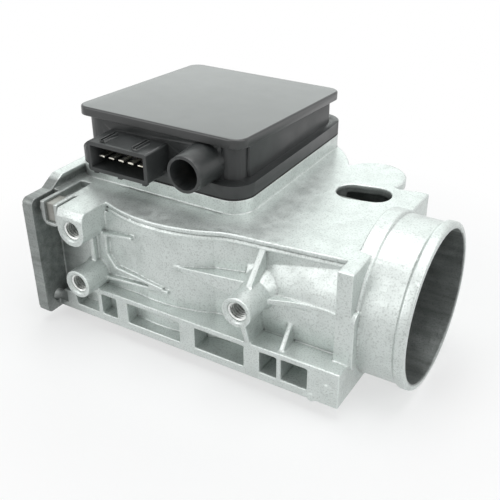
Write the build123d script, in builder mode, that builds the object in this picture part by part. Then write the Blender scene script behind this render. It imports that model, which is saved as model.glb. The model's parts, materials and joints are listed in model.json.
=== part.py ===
"""Vane type air flow meter for an engine intake, in millimetres.

X runs along the air flow, from the inlet flange to the outlet spigot. Y points to the rear of
the casting and Z is up. The origin is the centre of the inlet flange's four bolt holes, on the
flange's outer face, and it lies on the axis of the outlet spigot.
"""

import os
from math import cos, radians, sin, sqrt

from build123d import *

os.makedirs("parts", exist_ok=True)

# Levels of the casting
deck_top = 27.5
deck_underside = 23.5
duct_top = 21.0
base_bottom = -28.0
rail_top = -24.2
foot_bottom = -34.0

# Inlet flange
flange_thickness = 5.5
flange_half_width = 51.0
flange_peak_top = 31.9
flange_peak_half_width = 31.7
flange_shoulder_half_width = 38.9
flange_shoulder_bottom = -29.2
flange_corner_radius = 3.0
bolt_spacing_y = 87.0
bolt_spacing_z = 45.0
bolt_hole_radius = 2.8

# Flap chamber, ducts and walls
pivot_x = 58.0
pivot_y = 26.0
wall = 3.2
deck_overhang = 4.2
inlet_front_y = -34.0
inlet_rear_y = 20.0
inlet_end_x = 48.0
flap_sweep_radius = 60.8
damper_sweep_radius = 46.5
damper_start_angle = 2.0
damper_end_angle = 100.0
sweep_start_angle = -114.0
sweep_end_angle = -65.0
mid_duct_x = 112.0
mid_duct_half_width = 26.0
damper_mouth_x = 104.5
damper_mouth_y = 29.5
outlet_duct_start_x = 98.0

# Outlet end
end_face_x = 144.7
end_plate_thickness = 6.3
end_front_y = -36.4
end_rear_y = 38.3
bore_start_x = 140.6
bore_radius = 31.3
spigot_radius = 33.0
spigot_end_x = 164.8
lip_radius = 34.0
lip_width = 4.4
lip_round = 0.9
end_pad_y = -33.4
end_pad_z = -2.3
end_pad_length = 25.0
end_pad_width = 6.0
end_pad_height = 1.6
collar_back_x = 139.4
collar_front_x = 145.8
collar_radius = 34.0

# Front face: rail, ribs and posts
rail_front_y = -43.3
rail_start_x = 17.4
rib_top = -12.0
rib_thickness = 2.4
rib_start_x = 27.5
deck_lip_radius = 66.8
lip_arc_start_x = 33.0
lip_arc_end_x = 86.0
lip_mid_x = 108.2
lip_mid_y = -31.3
lip_end_y = -27.9
post_spans = [(28.9, 31.0), (39.2, 45.2), (72.4, 79.9), (103.3, 110.5), (131.4, 144.0)]
gusset_x = 119.1
gusset_width = 2.0
gusset_root_z = -3.0
shelf_top = 7.5
shelf_thickness = 2.2
shelf_start_x = 108.0
shelf_front_start_y = -40.6
shelf_mid_x = 124.8
shelf_mid_y = -34.5
shelf_front_end_y = -34.4
web_width = 2.4
web_front_y = -40.0
wedge_front_y = -37.6
rib_front_y = -39.4
rib_width = 1.6
upper_rib_points = [(31.0, 13.5), (47.5, 15.5)]
bent_rib_points = [(33.3, 14.5), (33.0, 4.5), (37.2, -1.4), (61.5, -4.4)]
lower_rib_points = [(29.0, -8.0), (64.5, -5.0)]
lip_groove_top = 25.8
lip_groove_bottom = 24.7
lip_groove_depth = 0.7

# Threaded bosses
boss_front_y = -51.0
boss_one_x = 25.8
boss_one_z = 18.5
boss_two_x = 25.8
boss_two_z = -6.8
boss_three_x = 105.2
boss_three_z = 6.6
boss_radius = 6.3
boss_one_radius = 6.9
boss_one_bevel = 1.6
boss_one_bevel_depth = 3.2
boss_hole_radius = 4.0
boss_mouth_radius = 4.8
boss_thread_depth = 14.0
boss_flare_radius = 9.6
boss_flare_length = 7.0

# Pockets for the captive flange nuts
lug_start_x = 8.2
lug_wall = 2.2
pocket_width = 5.2
lug_front_y = 48.8
lug_rear_y = 36.0
pocket_rear_y = 38.2
nut_play = 0.2
groove_rear_y = 25.0
groove_depth = 3.2
lug_drop = 5.8
lug_round = 3.6
nut_side = 8.0
nut_thickness = 4.0
nut_hole_radius = 2.1
block_top = -18.9
block_left_x = 9.2
block_right_x = 15.6
block_web_z = -23.5

# Deck features
slot_x = 120.8
slot_y = 25.5
slot_half_length = 4.7
slot_radius = 7.05
slot_angle = 12.0
slot_floor_radius = 17.6
lobe_x = 117.5
lobe_y = 43.5
lobe_radius = 14.0

# Control housing
lid_left_x = 5.1
lid_right_x = 87.8
lid_front_y = -18.4
lid_rear_y = 70.7
lid_front_top = 58.9
lid_rear_top = 53.6
lid_thickness = 3.9
lid_corner_radius = 6.0
lid_edge_round = 0.9
housing_flange_overhang = 1.75
housing_flange_corner_radius = 9.8
housing_flange_top = 39.7
housing_corner_radius = 7.5
corner_recess = 1.2
corner_recess_reach = 8.2
housing_wall_inset = 2.2
housing_wall = 2.5
pad_top = 33.6
gasket_thickness = 0.8
pad_rim = 8.0
pad_inner_corner_radius = 10.3
lid_skirt_depth = 2.5
lid_skirt_width = 1.6
lid_skirt_clearance = 0.4
housing_screw_inset = 9.5
housing_lug_radius = 5.0
housing_lug_height = 3.5
housing_screw_radius = 1.6
housing_screw_head_radius = 3.0
housing_screw_head = 2.0
housing_screw_length = 5.0

# Socket, terminals and tube
socket_front_y = -31.0
socket_centre_x = 36.6
socket_width = 30.6
socket_bottom = 37.4
socket_top = 50.4
socket_wall = 1.7
socket_round = 1.2
socket_rail_offset = 8.2
socket_rail_width = 2.4
socket_rail_height = 1.3
socket_rail_groove = 1.0
socket_rail_length = 9.0
socket_bulge = 1.5
socket_bulge_round = 3.6
socket_foot_width = 2.0
socket_foot_drop = 1.2
socket_foot_spacing = 12.6
terminal_count = 5
terminal_pitch = 5.0
terminal_width = 2.8
terminal_thickness = 0.8
terminal_z = 43.6
terminal_tip_y = -28.4
terminal_rear_y = -9.0
tube_x = 69.7
tube_z = 46.1
tube_radius = 7.65
tube_root_radius = 8.6
tube_bore_radius = 6.4
trimmer_hole_radius = 3.0
trimmer_radius = 5.6
trimmer_length = 8.0
trimmer_stem_radius = 2.0
trimmer_head_radius = 3.8
trimmer_head = 2.4
trimmer_head_gap = 0.4
trimmer_slot = 1.0

# Bearings and spindle
spindle_radius = 3.0
journal_radius = 2.5
spindle_clearance = 0.05
bearing_radius = 6.0
bearing_boss_radius = 9.0
bearing_boss_top = 33.0
bearing_flange_radius = 7.5
bearing_flange_thickness = 1.2
spindle_top = 49.0
lower_boss_radius = 8.0
lower_boss_bottom = -34.15
lower_bearing_radius = 5.0
lower_bearing_length = 6.5

# Bottom cover
cover_thickness = 2.0
cover_margin = 7.0
cover_play = 0.25
base_margin = 9.3
cover_screw_inset = 3.1
cover_screw_count = 12
cover_screw_radius = 1.4
cover_screw_head_radius = 2.7
cover_screw_head = 1.8
cover_screw_length = 3.4
cover_bead_bottom = -29.0
cover_bead_width = 2.5

# Flap casting
flap_rest_angle = -102.0
damper_rest_angle = 8.0
flap_gap = 0.6
flap_thickness = 2.6
flap_hub_radius = 6.2
flap_rib_height = 2.0
flap_rib_width = 1.8
flap_rib_start = 12.0
flap_pin_radius = 1.2
flap_pin_angle = 205.0
flap_pin_levels = (-12.0, 10.0)
stop_x = 50.6
stop_front_y = 13.0
stop_radius = 3.0

# Air temperature sensor
sensor_x = 22.0
sensor_foot_length = 16.0
sensor_foot_width = 8.0
sensor_foot_height = 2.5
sensor_stem_radius = 2.6
sensor_bead_radius = 2.2
sensor_reach = 15.0

# Return spring and tension wheel
wheel_thickness = 3.0
wheel_radius = 17.5
wheel_teeth = 60
wheel_tooth_depth = 0.9
spring_post_radius = 1.2
clip_angle = -62.0
clip_screw_reach = 24.0
clip_bottom = 34.0
clip_thickness = 0.8
clip_width = 4.0
spring_bottom = 37.2
spring_height = 3.2
spring_inner_radius = 5.2
spring_pitch = 1.3
spring_turns = 6
spring_strip = 0.35

# Wiper, counterweight and resistor board
wiper_rest_angle = 140.0
wiper_hub_radius = 5.0
wiper_neck_radius = 4.2
wiper_hub_top = 47.6
wiper_plane = 45.0
wiper_arm_width = 4.0
wiper_arm_thickness = 0.5
wiper_reach = 27.0
wiper_gap = 0.3
contact_size = 2.4
counterweight_thickness = 3.0
counterweight_inner = 10.0
counterweight_outer = 19.0
counterweight_half_angle = 24.0
board_top = 41.2
board_thickness = 1.0
board_inner_radius = 20.5
board_outer_radius = 32.0
board_start_angle = 121.0
board_end_angle = 226.0
board_front_y = 1.0
board_tab_rear_y = 9.0
board_tab_left_x = 24.4
board_tab_right_x = 49.0
strip_width = 1.6
strip_thickness = 0.4
strip_bend = 3.0
strip_landing = 3.0
board_post_radius = 2.6
board_screw_radius = 1.1
board_screw_reach = 27.0
board_screw_angle = 127.0
board_screw_inset = 5.2
board_screw_head_radius = 2.1
board_screw_head = 1.2
board_screw_length = 5.0
press_play = 0.03

cover_inner_z = base_bottom + cover_thickness
cover_start_x = flange_thickness + base_margin
pocket_start_x = lug_start_x + lug_wall
lug_end_x = pocket_start_x + pocket_width + lug_wall - nut_play
gasket_top = pad_top + gasket_thickness


def about_pivot(radius, angle):
    """Return the plan position at a radius and an angle about the pivot."""
    return (pivot_x + radius * cos(radians(angle)), pivot_y + radius * sin(radians(angle)))


def rounded_box_plan(left, right, front, rear, radius):
    """Return a flat rounded rectangle given by its four sides."""
    with BuildSketch(mode=Mode.PRIVATE) as plan:
        with Locations(((left + right) / 2, (front + rear) / 2)):
            RectangleRounded(right - left, rear - front, radius)
    return plan.sketch


def sector_plan(radius, start, end):
    """Return a flat sector about the pivot, between two angles in degrees."""
    start_point = (pivot_x + radius * cos(radians(start)), pivot_y + radius * sin(radians(start)))
    end_point = (pivot_x + radius * cos(radians(end)), pivot_y + radius * sin(radians(end)))
    with BuildSketch(mode=Mode.PRIVATE) as plan:
        with BuildLine():
            CenterArc((pivot_x, pivot_y), radius, start, end - start)
            Line(end_point, (pivot_x, pivot_y))
            Line((pivot_x, pivot_y), start_point)
        make_face()
    return plan.sketch


# Plan of the air space: inlet duct, flap sweep, damping chamber and the way to the outlet
with BuildSketch() as air_plan:
    with BuildLine():
        Polyline(
            (-1, inlet_front_y), (inlet_end_x, inlet_front_y), (pivot_x, pivot_y),
            (pivot_x - flap_hub_radius, inlet_rear_y), (-1, inlet_rear_y), close=True,
        )
    make_face()
    add(sector_plan(flap_sweep_radius, sweep_start_angle, sweep_end_angle))
    add(sector_plan(damper_sweep_radius, damper_start_angle, damper_end_angle))
    with BuildLine():
        Polyline(
            (pivot_x, pivot_y), about_pivot(flap_sweep_radius, sweep_end_angle - 1),
            (mid_duct_x, -mid_duct_half_width), (mid_duct_x, mid_duct_half_width),
            (damper_mouth_x, damper_mouth_y), close=True,
        )
    make_face()
    with Locations((pivot_x, pivot_y)):
        Circle(flap_hub_radius + flap_gap)

# Plan of the walls around the air space, up to the end plate
with BuildSketch() as wall_plan:
    add(air_plan.sketch)
    offset(amount=wall)
    with Locations((end_face_x / 2, 0)):
        Rectangle(end_face_x, 4 * flange_half_width, mode=Mode.INTERSECT)

# Plan of the base flange that the bottom cover sits in
with BuildSketch() as base_plan:
    add(air_plan.sketch)
    offset(amount=base_margin)
    with Locations(((rail_start_x + end_face_x) / 2, (rail_front_y + end_rear_y) / 2)):
        Rectangle(end_face_x - rail_start_x, end_rear_y - rail_front_y)
    with Locations((end_face_x / 2, rail_front_y + 2 * flange_half_width)):
        Rectangle(end_face_x, 4 * flange_half_width, mode=Mode.INTERSECT)

# Plan of the bottom cover
with BuildSketch() as cover_plan:
    add(air_plan.sketch)
    offset(amount=cover_margin)
    with Locations(((cover_start_x + mid_duct_x + cover_margin) / 2, pivot_y)):
        Rectangle(mid_duct_x + cover_margin - cover_start_x, 4 * flange_half_width, mode=Mode.INTERSECT)

# Plan of the deck, without the nut lugs and the first boss
lip_arc_end_y = pivot_y - sqrt(deck_lip_radius**2 - (lip_arc_end_x - pivot_x) ** 2)
pillar_x = end_face_x - end_plate_thickness
flange_ring_plan = rounded_box_plan(
    lid_left_x - housing_flange_overhang, lid_right_x + housing_flange_overhang,
    lid_front_y - housing_flange_overhang, lid_rear_y + housing_flange_overhang,
    housing_flange_corner_radius,
)


def deck_plan(inset):
    """Return the deck's flat outline, with its front lip set back by the inset."""
    radius = deck_lip_radius - inset
    arc_start_y = pivot_y - sqrt(radius**2 - (lip_arc_start_x - pivot_x) ** 2)
    arc_end_y = pivot_y - sqrt(radius**2 - (lip_arc_end_x - pivot_x) ** 2)
    with BuildSketch(mode=Mode.PRIVATE) as plan:
        with BuildLine():
            lip_arc = ThreePointArc(
                (lip_arc_start_x, arc_start_y), (pivot_x, pivot_y - radius), (lip_arc_end_x, arc_end_y)
            )
            lip_bend = Spline(
                (lip_arc_end_x, arc_end_y), (lip_mid_x, lip_mid_y + inset),
                tangents=[lip_arc % 1, (pillar_x - lip_mid_x, lip_end_y - lip_mid_y)],
            )
            Polyline(
                lip_bend @ 1, (pillar_x, lip_end_y + inset), (pillar_x, end_front_y),
                (end_face_x, end_front_y), (end_face_x, end_rear_y),
                (lobe_x + lobe_radius, lobe_y - lobe_radius / 2), (lobe_x, lobe_y),
                (damper_mouth_x, pivot_y + damper_sweep_radius / 2), (pivot_x, pivot_y),
                (0, pivot_y), (0, inlet_front_y - wall), (lip_arc_start_x, inlet_front_y - wall),
                lip_arc @ 0,
            )
        make_face()
        with Locations((lobe_x, lobe_y)):
            Circle(lobe_radius)
        add(sector_plan(damper_sweep_radius + deck_overhang, -1, damper_end_angle))
        add(flange_ring_plan)
    return plan.sketch


# Places of the small screws
board_screw_places = [
    about_pivot(board_screw_reach, board_screw_angle),
    (board_tab_left_x + board_screw_inset, board_front_y + board_screw_inset),
    (board_tab_right_x - board_screw_inset, board_front_y + board_screw_inset),
]
clip_place = about_pivot(clip_screw_reach, clip_angle)
housing_screw_places = [
    (lid_left_x + housing_screw_inset, lid_front_y + housing_screw_inset),
    (lid_right_x - housing_screw_inset, lid_front_y + housing_screw_inset),
    (lid_right_x - housing_screw_inset, lid_rear_y - housing_screw_inset),
    (lid_left_x + housing_screw_inset, lid_rear_y - housing_screw_inset),
]
with BuildSketch() as screw_line_plan:
    add(cover_plan.sketch)
    offset(amount=-cover_screw_inset)
screw_line = screw_line_plan.sketch.face().outer_wire()
cover_screw_places = [
    ((screw_line @ (i / cover_screw_count)).X, (screw_line @ (i / cover_screw_count)).Y)
    for i in range(cover_screw_count)
]

# Outlines of the control housing, from the flange inwards
housing_outer_plan = rounded_box_plan(
    lid_left_x + housing_wall_inset, lid_right_x - housing_wall_inset,
    lid_front_y + housing_wall_inset, lid_rear_y - housing_wall_inset, housing_corner_radius,
)
housing_inner_plan = rounded_box_plan(
    lid_left_x + housing_wall_inset + housing_wall, lid_right_x - housing_wall_inset - housing_wall,
    lid_front_y + housing_wall_inset + housing_wall, lid_rear_y - housing_wall_inset - housing_wall,
    housing_corner_radius - housing_wall,
)
pad_inner_plan = rounded_box_plan(
    lid_left_x + pad_rim, lid_right_x - pad_rim, lid_front_y + pad_rim, lid_rear_y - pad_rim,
    pad_inner_corner_radius,
)
skirt_inset = housing_wall_inset + housing_wall + lid_skirt_clearance
skirt_corner_radius = housing_corner_radius - housing_wall - lid_skirt_clearance
lid_slope = (lid_front_top - lid_rear_top) / (lid_rear_y - lid_front_y)
lid_centre_x = (lid_left_x + lid_right_x) / 2
lid_centre_y = (lid_front_y + lid_rear_y) / 2
lid_centre_top = (lid_front_top + lid_rear_top) / 2
lid_top_plane = Plane(
    origin=(lid_centre_x, lid_centre_y, lid_centre_top), x_dir=(1, 0, 0), z_dir=(0, lid_slope, 1)
)
lid_seat_plane = lid_top_plane.offset(-lid_thickness)

# Main casting
with BuildPart() as main_casting:
    # Stepped inlet flange
    with BuildSketch(Plane.YZ) as flange_outline:
        with BuildLine():
            Polyline(
                (0, flange_peak_top), (flange_peak_half_width, flange_peak_top),
                (flange_shoulder_half_width, deck_top), (flange_half_width, deck_top),
                (flange_half_width, flange_shoulder_bottom),
                (flange_shoulder_half_width, flange_shoulder_bottom),
                (flange_peak_half_width, foot_bottom), (0, foot_bottom), close=True,
            )
        make_face()
        mirror(about=Plane.YZ)
        corners = flange_outline.vertices().filter_by(lambda v: abs(v.X) > flange_half_width - 1)
        fillet(corners, flange_corner_radius)
    extrude(amount=flange_thickness)

    # Walls, deck and base flange
    with BuildSketch(Plane.XY.offset(base_bottom)):
        add(wall_plan.sketch)
    extrude(amount=deck_underside - base_bottom)
    for layer_bottom, layer_top, lip_inset in (
        (deck_underside, lip_groove_bottom, 0), (lip_groove_bottom, lip_groove_top, lip_groove_depth),
        (lip_groove_top, deck_top, 0),
    ):
        with BuildSketch(Plane.XY.offset(layer_bottom)):
            add(deck_plan(lip_inset))
        extrude(amount=layer_top - layer_bottom)
    with BuildSketch(Plane.XY.offset(base_bottom)):
        add(base_plan.sketch)
    extrude(amount=rail_top - base_bottom)

    # Oval window in the deck, beside the duct roof
    with BuildSketch(Plane.XY.offset(deck_top)):
        with Locations(Location((slot_x, slot_y), slot_angle)):
            SlotCenterToCenter(2 * slot_half_length, 2 * slot_radius)
    extrude(amount=-(deck_top - base_bottom), mode=Mode.SUBTRACT)
    with BuildSketch(Plane.XY.offset(base_bottom)):
        with Locations((slot_x, slot_y)):
            Circle(slot_floor_radius)
    extrude(amount=rail_top - base_bottom)

    # Round outlet duct, flat on top where the deck covers it
    with BuildSketch(Plane.YZ.offset(outlet_duct_start_x)):
        Circle(bore_radius + wall)
        with Locations((0, (duct_top + wall + base_bottom) / 2)):
            Rectangle(4 * bore_radius, duct_top + wall - base_bottom, mode=Mode.INTERSECT)
    extrude(amount=end_face_x - outlet_duct_start_x)

    # End plate, wider at its foot
    with BuildSketch(Plane.YZ.offset(end_face_x)):
        with BuildLine():
            Polyline(
                (end_front_y, deck_top), (end_front_y, rib_top), (rail_front_y, rib_top - rib_thickness),
                (rail_front_y, base_bottom), (end_rear_y, base_bottom), (end_rear_y, deck_top), close=True,
            )
        make_face()
    extrude(amount=-end_plate_thickness)

    # Lower front rib and its posts down to the rail
    with BuildSketch(Plane.XY.offset(rib_top)):
        with BuildLine():
            Polyline(
                (rib_start_x, rail_front_y), (end_face_x, rail_front_y), (end_face_x, 0),
                (rib_start_x, 0), close=True,
            )
        make_face()
    extrude(amount=-rib_thickness)
    for post_left, post_right in post_spans:
        with BuildSketch(Plane.XY.offset(rail_top)):
            with Locations(((post_left + post_right) / 2, rail_front_y / 2)):
                Rectangle(post_right - post_left, -rail_front_y)
        extrude(amount=rib_top - rail_top)

    # Shelf beside the third boss and the gusset on the lower rib
    with BuildSketch(Plane.XY.offset(shelf_top)):
        with BuildLine():
            shelf_edge = Spline(
                (shelf_start_x, shelf_front_start_y), (shelf_mid_x, shelf_mid_y),
                (pillar_x, shelf_front_end_y),
            )
            Polyline(shelf_edge @ 1, (pillar_x, 0), (shelf_start_x, 0), shelf_edge @ 0)
        make_face()
    extrude(amount=-shelf_thickness)
    with BuildSketch(Plane.YZ.offset(gusset_x - gusset_width / 2)):
        with BuildLine():
            Polyline(
                (0, gusset_root_z), (-bore_radius - wall, gusset_root_z),
                (rail_front_y, rib_top - rib_thickness), (rail_front_y, rail_top), (0, rail_top),
                close=True,
            )
        make_face()
    extrude(amount=gusset_width)

    # Front wall between the duct and the deck, right of the flap sweep
    with BuildSketch(Plane.XY.offset(rib_top)):
        with BuildLine():
            Polyline(
                (lip_arc_end_x, lip_arc_end_y + wall), (lip_mid_x, lip_mid_y + wall / 2),
                (pillar_x, lip_end_y + wall / 2), (pillar_x, lip_end_y + 2 * wall),
                (lip_arc_end_x, lip_end_y + wall), close=True,
            )
        make_face()
    extrude(amount=deck_top - rib_top)

    # Webs between the first two bosses and the ribs that run from them
    with BuildSketch(Plane.XY.offset(boss_two_z)):
        with Locations((boss_two_x, (web_front_y + inlet_front_y) / 2)):
            Rectangle(web_width, inlet_front_y - web_front_y)
    extrude(amount=boss_one_z - boss_two_z)
    for rib_points in (upper_rib_points, bent_rib_points, lower_rib_points):
        with BuildSketch(Plane.XZ.offset(-rib_front_y)):
            with BuildLine():
                Polyline(*rib_points)
            trace(line_width=rib_width)
        extrude(amount=rib_front_y - inlet_front_y)

    # Threaded bosses: the first is a block flush with the deck, the others are round
    boss_root_y = inlet_front_y - wall / 2
    with BuildSketch(Plane.XZ.offset(-boss_front_y)):
        with Locations((boss_one_x, boss_one_z)):
            Circle(boss_one_radius)
        with Locations((boss_two_x, boss_two_z)):
            Circle(boss_radius)
    extrude(amount=boss_front_y - boss_root_y)
    with BuildSketch(Plane.YZ.offset(boss_one_x - boss_one_radius)):
        with BuildLine():
            Polyline(
                (boss_front_y, boss_one_z), (boss_front_y, deck_top - boss_one_bevel_depth),
                (boss_front_y + boss_one_bevel, deck_top), (boss_root_y, deck_top),
                (boss_root_y, boss_one_z), close=True,
            )
        make_face()
    extrude(amount=2 * boss_one_radius)
    with BuildSketch(Plane.XZ.offset(-boss_front_y)):
        with Locations((boss_three_x, boss_three_z)):
            Circle(boss_radius)
    extrude(amount=boss_front_y - lip_mid_y - wall)

    # Flare at the root of the third boss, its top gusset, side wedge and foot web
    with Locations(Location((boss_three_x, lip_mid_y + wall / 2, boss_three_z), (90, 0, 0))):
        Cone(
            boss_flare_radius, boss_radius, boss_flare_length,
            align=(Align.CENTER, Align.CENTER, Align.MIN),
        )
    with BuildSketch(Plane.YZ.offset(boss_three_x - web_width / 2)):
        with BuildLine():
            Polyline(
                (lip_mid_y - wall / 4, deck_underside), (lip_mid_y + wall, deck_underside),
                (lip_mid_y + wall, boss_three_z), (web_front_y - wall, boss_three_z),
                (web_front_y - wall, boss_three_z + boss_radius - 1), close=True,
            )
        make_face()
    extrude(amount=web_width)
    with BuildSketch(Plane.YZ.offset(boss_three_x - web_width / 2)):
        with BuildLine():
            Polyline(
                (lip_mid_y, boss_three_z), (boss_front_y + wall, boss_three_z - boss_radius + 1),
                (rail_front_y, rib_top), (lip_mid_y, rib_top), close=True,
            )
        make_face()
    extrude(amount=web_width)
    with BuildSketch(Plane.XZ.offset(-wedge_front_y)):
        with BuildLine():
            Polyline(
                (pivot_x + wall, boss_three_z + 1), (boss_three_x, boss_three_z + boss_radius - 1),
                (boss_three_x, boss_three_z - boss_radius + 1), close=True,
            )
        make_face()
    extrude(amount=wedge_front_y - lip_mid_y)

    # Captive nut pockets behind the flange's upper corners, open on top and outside
    nut_z = bolt_spacing_z / 2
    for side in (-1, 1):
        with BuildSketch(Plane.XZ.offset(-side * lug_front_y)):
            with Locations(((lug_start_x + lug_end_x) / 2, nut_z)):
                RectangleRounded(lug_end_x - lug_start_x, 2 * lug_drop, lug_round)
            with Locations(((lug_start_x + lug_end_x) / 2, (deck_top + nut_z) / 2)):
                Rectangle(lug_end_x - lug_start_x, deck_top - nut_z)
            with Locations(((lug_start_x + lug_end_x) / 2, deck_top + lug_drop)):
                Rectangle(lug_end_x, 2 * lug_drop, mode=Mode.SUBTRACT)
        extrude(amount=side * (lug_front_y - lug_rear_y))
        with BuildSketch(Plane.XZ.offset(-side * (lug_front_y + nut_play))):
            with Locations((pocket_start_x + pocket_width / 2, nut_z - nut_side / 2 - nut_play)):
                Rectangle(pocket_width, 2 * nut_side, align=(Align.CENTER, Align.MIN))
        extrude(amount=side * (lug_front_y + nut_play - pocket_rear_y), mode=Mode.SUBTRACT)

    # Block at the rail's end, with a slanted web to the inlet flange
    with BuildSketch(Plane.XZ.offset(-rail_front_y)):
        with BuildLine():
            Polyline(
                (flange_thickness, base_bottom), (flange_thickness, block_web_z),
                (block_left_x, block_top), (block_right_x, block_top), (rail_start_x, base_bottom),
                close=True,
            )
        make_face()
    extrude(amount=rail_front_y - inlet_front_y)

    # Groove in the deck above the upper front nut pocket
    with BuildSketch(Plane.XY.offset(deck_top)):
        with Locations((pocket_start_x + pocket_width / 2, -(lug_front_y + groove_rear_y) / 2)):
            Rectangle(pocket_width, lug_front_y - groove_rear_y)
    extrude(amount=-groove_depth, mode=Mode.SUBTRACT)

    # Raised rim under the control housing
    with BuildSketch(Plane.XY.offset(deck_top)):
        add(flange_ring_plan)
    extrude(amount=pad_top - deck_top)

    # Spigot with its end bead, and the collar that stands over the end plate
    bead_start_x = spigot_end_x - lip_width
    with BuildSketch() as spigot_profile:
        with BuildLine():
            Polyline(
                (collar_back_x, 0), (collar_back_x, spigot_radius), (bead_start_x, spigot_radius),
                (bead_start_x, lip_radius), (spigot_end_x, lip_radius), (spigot_end_x, 0), close=True,
            )
        make_face()
        bead_corners = spigot_profile.vertices().filter_by(lambda v: v.Y > spigot_radius + 0.1)
        fillet(bead_corners, lip_round)
    revolve(axis=Axis.X)
    with BuildSketch(Plane.YZ.offset(collar_back_x)):
        Circle(collar_radius)
        with Locations((0, collar_radius)):
            Rectangle(4 * collar_radius, 2 * collar_radius, mode=Mode.INTERSECT)
    extrude(amount=collar_front_x - collar_back_x)
    with BuildSketch(Plane.YZ.offset(end_face_x)):
        with Locations(Location((end_pad_y, end_pad_z), 90)):
            SlotOverall(end_pad_length, end_pad_width)
    extrude(amount=end_pad_height)

    # Air space, outlet bore and the seat of the bottom cover
    with BuildSketch(Plane.XY.offset(rail_top)):
        add(air_plan.sketch)
    extrude(amount=duct_top - rail_top, mode=Mode.SUBTRACT)
    with BuildSketch(Plane.XY.offset(cover_inner_z)):
        add(air_plan.sketch)
        with Locations(((cover_start_x + cover_margin + mid_duct_x) / 2, pivot_y)):
            Rectangle(mid_duct_x - cover_start_x - cover_margin, 4 * flange_half_width, mode=Mode.INTERSECT)
    extrude(amount=rail_top - cover_inner_z, mode=Mode.SUBTRACT)
    with BuildSketch(Plane.YZ.offset(outlet_duct_start_x)):
        Circle(bore_radius)
        with Locations((0, (duct_top + rail_top) / 2)):
            Rectangle(4 * bore_radius, duct_top - rail_top, mode=Mode.INTERSECT)
    extrude(amount=bore_start_x - outlet_duct_start_x, mode=Mode.SUBTRACT)
    with BuildSketch(Plane.YZ.offset(bore_start_x)):
        Circle(bore_radius)
    extrude(amount=spigot_end_x - bore_start_x, mode=Mode.SUBTRACT)
    with BuildSketch(Plane.XY.offset(base_bottom)):
        add(cover_plan.sketch)
        offset(amount=cover_play)
    extrude(amount=cover_thickness, mode=Mode.SUBTRACT)

    # Recess for the mechanism inside the rim, and the upper bearing's boss
    with BuildSketch(Plane.XY.offset(pad_top)):
        add(pad_inner_plan)
    extrude(amount=deck_top - pad_top, mode=Mode.SUBTRACT)
    with BuildSketch(Plane.XY.offset(deck_top)):
        with Locations((pivot_x, pivot_y)):
            Circle(bearing_boss_radius)
    extrude(amount=bearing_boss_top - deck_top)
    with Locations((pivot_x, pivot_y, bearing_boss_top)):
        Hole(bearing_radius + press_play, bearing_boss_top - duct_top)

    # Posts for the resistor board and the wheel clip, and the seats of the housing screws
    for post_x, post_y in board_screw_places:
        with BuildSketch(Plane.XY.offset(deck_top)):
            with Locations((post_x, post_y)):
                Circle(board_post_radius)
        extrude(amount=board_top - board_thickness - deck_top)
        with Locations((post_x, post_y, board_top - board_thickness)):
            Hole(board_screw_radius + press_play, board_screw_length)
    with BuildSketch(Plane.XY.offset(deck_top)):
        with Locations(clip_place):
            Circle(board_post_radius)
    extrude(amount=clip_bottom - deck_top)
    with Locations((clip_place[0], clip_place[1], clip_bottom)):
        Hole(board_screw_radius + press_play, board_screw_length)
    for screw_x, screw_y in housing_screw_places:
        with BuildSketch(Plane.XY.offset(deck_top)):
            with Locations((screw_x, screw_y)):
                Circle(housing_lug_radius)
        extrude(amount=pad_top - deck_top)
        with Locations((screw_x, screw_y, pad_top)):
            Hole(housing_screw_radius + press_play, housing_screw_length)

    # Holes for the bottom cover's screws
    for screw_x, screw_y in cover_screw_places:
        with Locations(Location((screw_x, screw_y, cover_inner_z), (180, 0, 0))):
            Hole(cover_screw_radius + press_play, cover_screw_length - cover_thickness)

    # Threaded holes of the bosses and the flange's bolt holes
    boss_places = [(boss_one_x, boss_one_z), (boss_two_x, boss_two_z), (boss_three_x, boss_three_z)]
    with Locations(Plane.XZ.offset(-boss_front_y)):
        with Locations(*boss_places):
            Hole(boss_hole_radius, boss_thread_depth)
    for boss_x, boss_z in boss_places:
        with Locations(Location((boss_x, boss_front_y, boss_z), (-90, 0, 0))):
            Cone(
                boss_mouth_radius, boss_hole_radius, boss_mouth_radius - boss_hole_radius,
                align=(Align.CENTER, Align.CENTER, Align.MIN), mode=Mode.SUBTRACT,
            )
    with BuildSketch(Plane.YZ):
        with GridLocations(bolt_spacing_y, bolt_spacing_z, 2, 2):
            Circle(bolt_hole_radius)
    extrude(amount=pocket_start_x, mode=Mode.SUBTRACT)
main_casting.part.label = "main_casting"
export_step(main_casting.part, "parts/main_casting.step")

# Bottom cover: a plate with the lower bearing's cup, which stands just proud of the flange's
# foot, so that the part rests on three points
with BuildPart() as bottom_cover:
    with BuildSketch(Plane.XY.offset(base_bottom)):
        add(cover_plan.sketch)
    extrude(amount=cover_thickness)
    with BuildSketch(Plane.XY.offset(lower_boss_bottom)):
        with Locations((pivot_x, pivot_y)):
            Circle(lower_boss_radius)
    extrude(amount=cover_inner_z - lower_boss_bottom)
    with BuildSketch(Plane.XY.offset(cover_bead_bottom)):
        add(cover_plan.sketch)
        offset(amount=-2 * cover_screw_inset - cover_bead_width)
        offset(amount=-cover_bead_width, mode=Mode.SUBTRACT)
    extrude(amount=base_bottom - cover_bead_bottom)
    with Locations((pivot_x, pivot_y, cover_inner_z)):
        Hole(lower_bearing_radius + press_play, lower_bearing_length + press_play)
    for screw_x, screw_y in cover_screw_places:
        with Locations((screw_x, screw_y, cover_inner_z)):
            Hole(cover_screw_radius + press_play, cover_thickness)
bottom_cover.part.label = "bottom_cover"
export_step(bottom_cover.part, "parts/bottom_cover.step")

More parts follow.
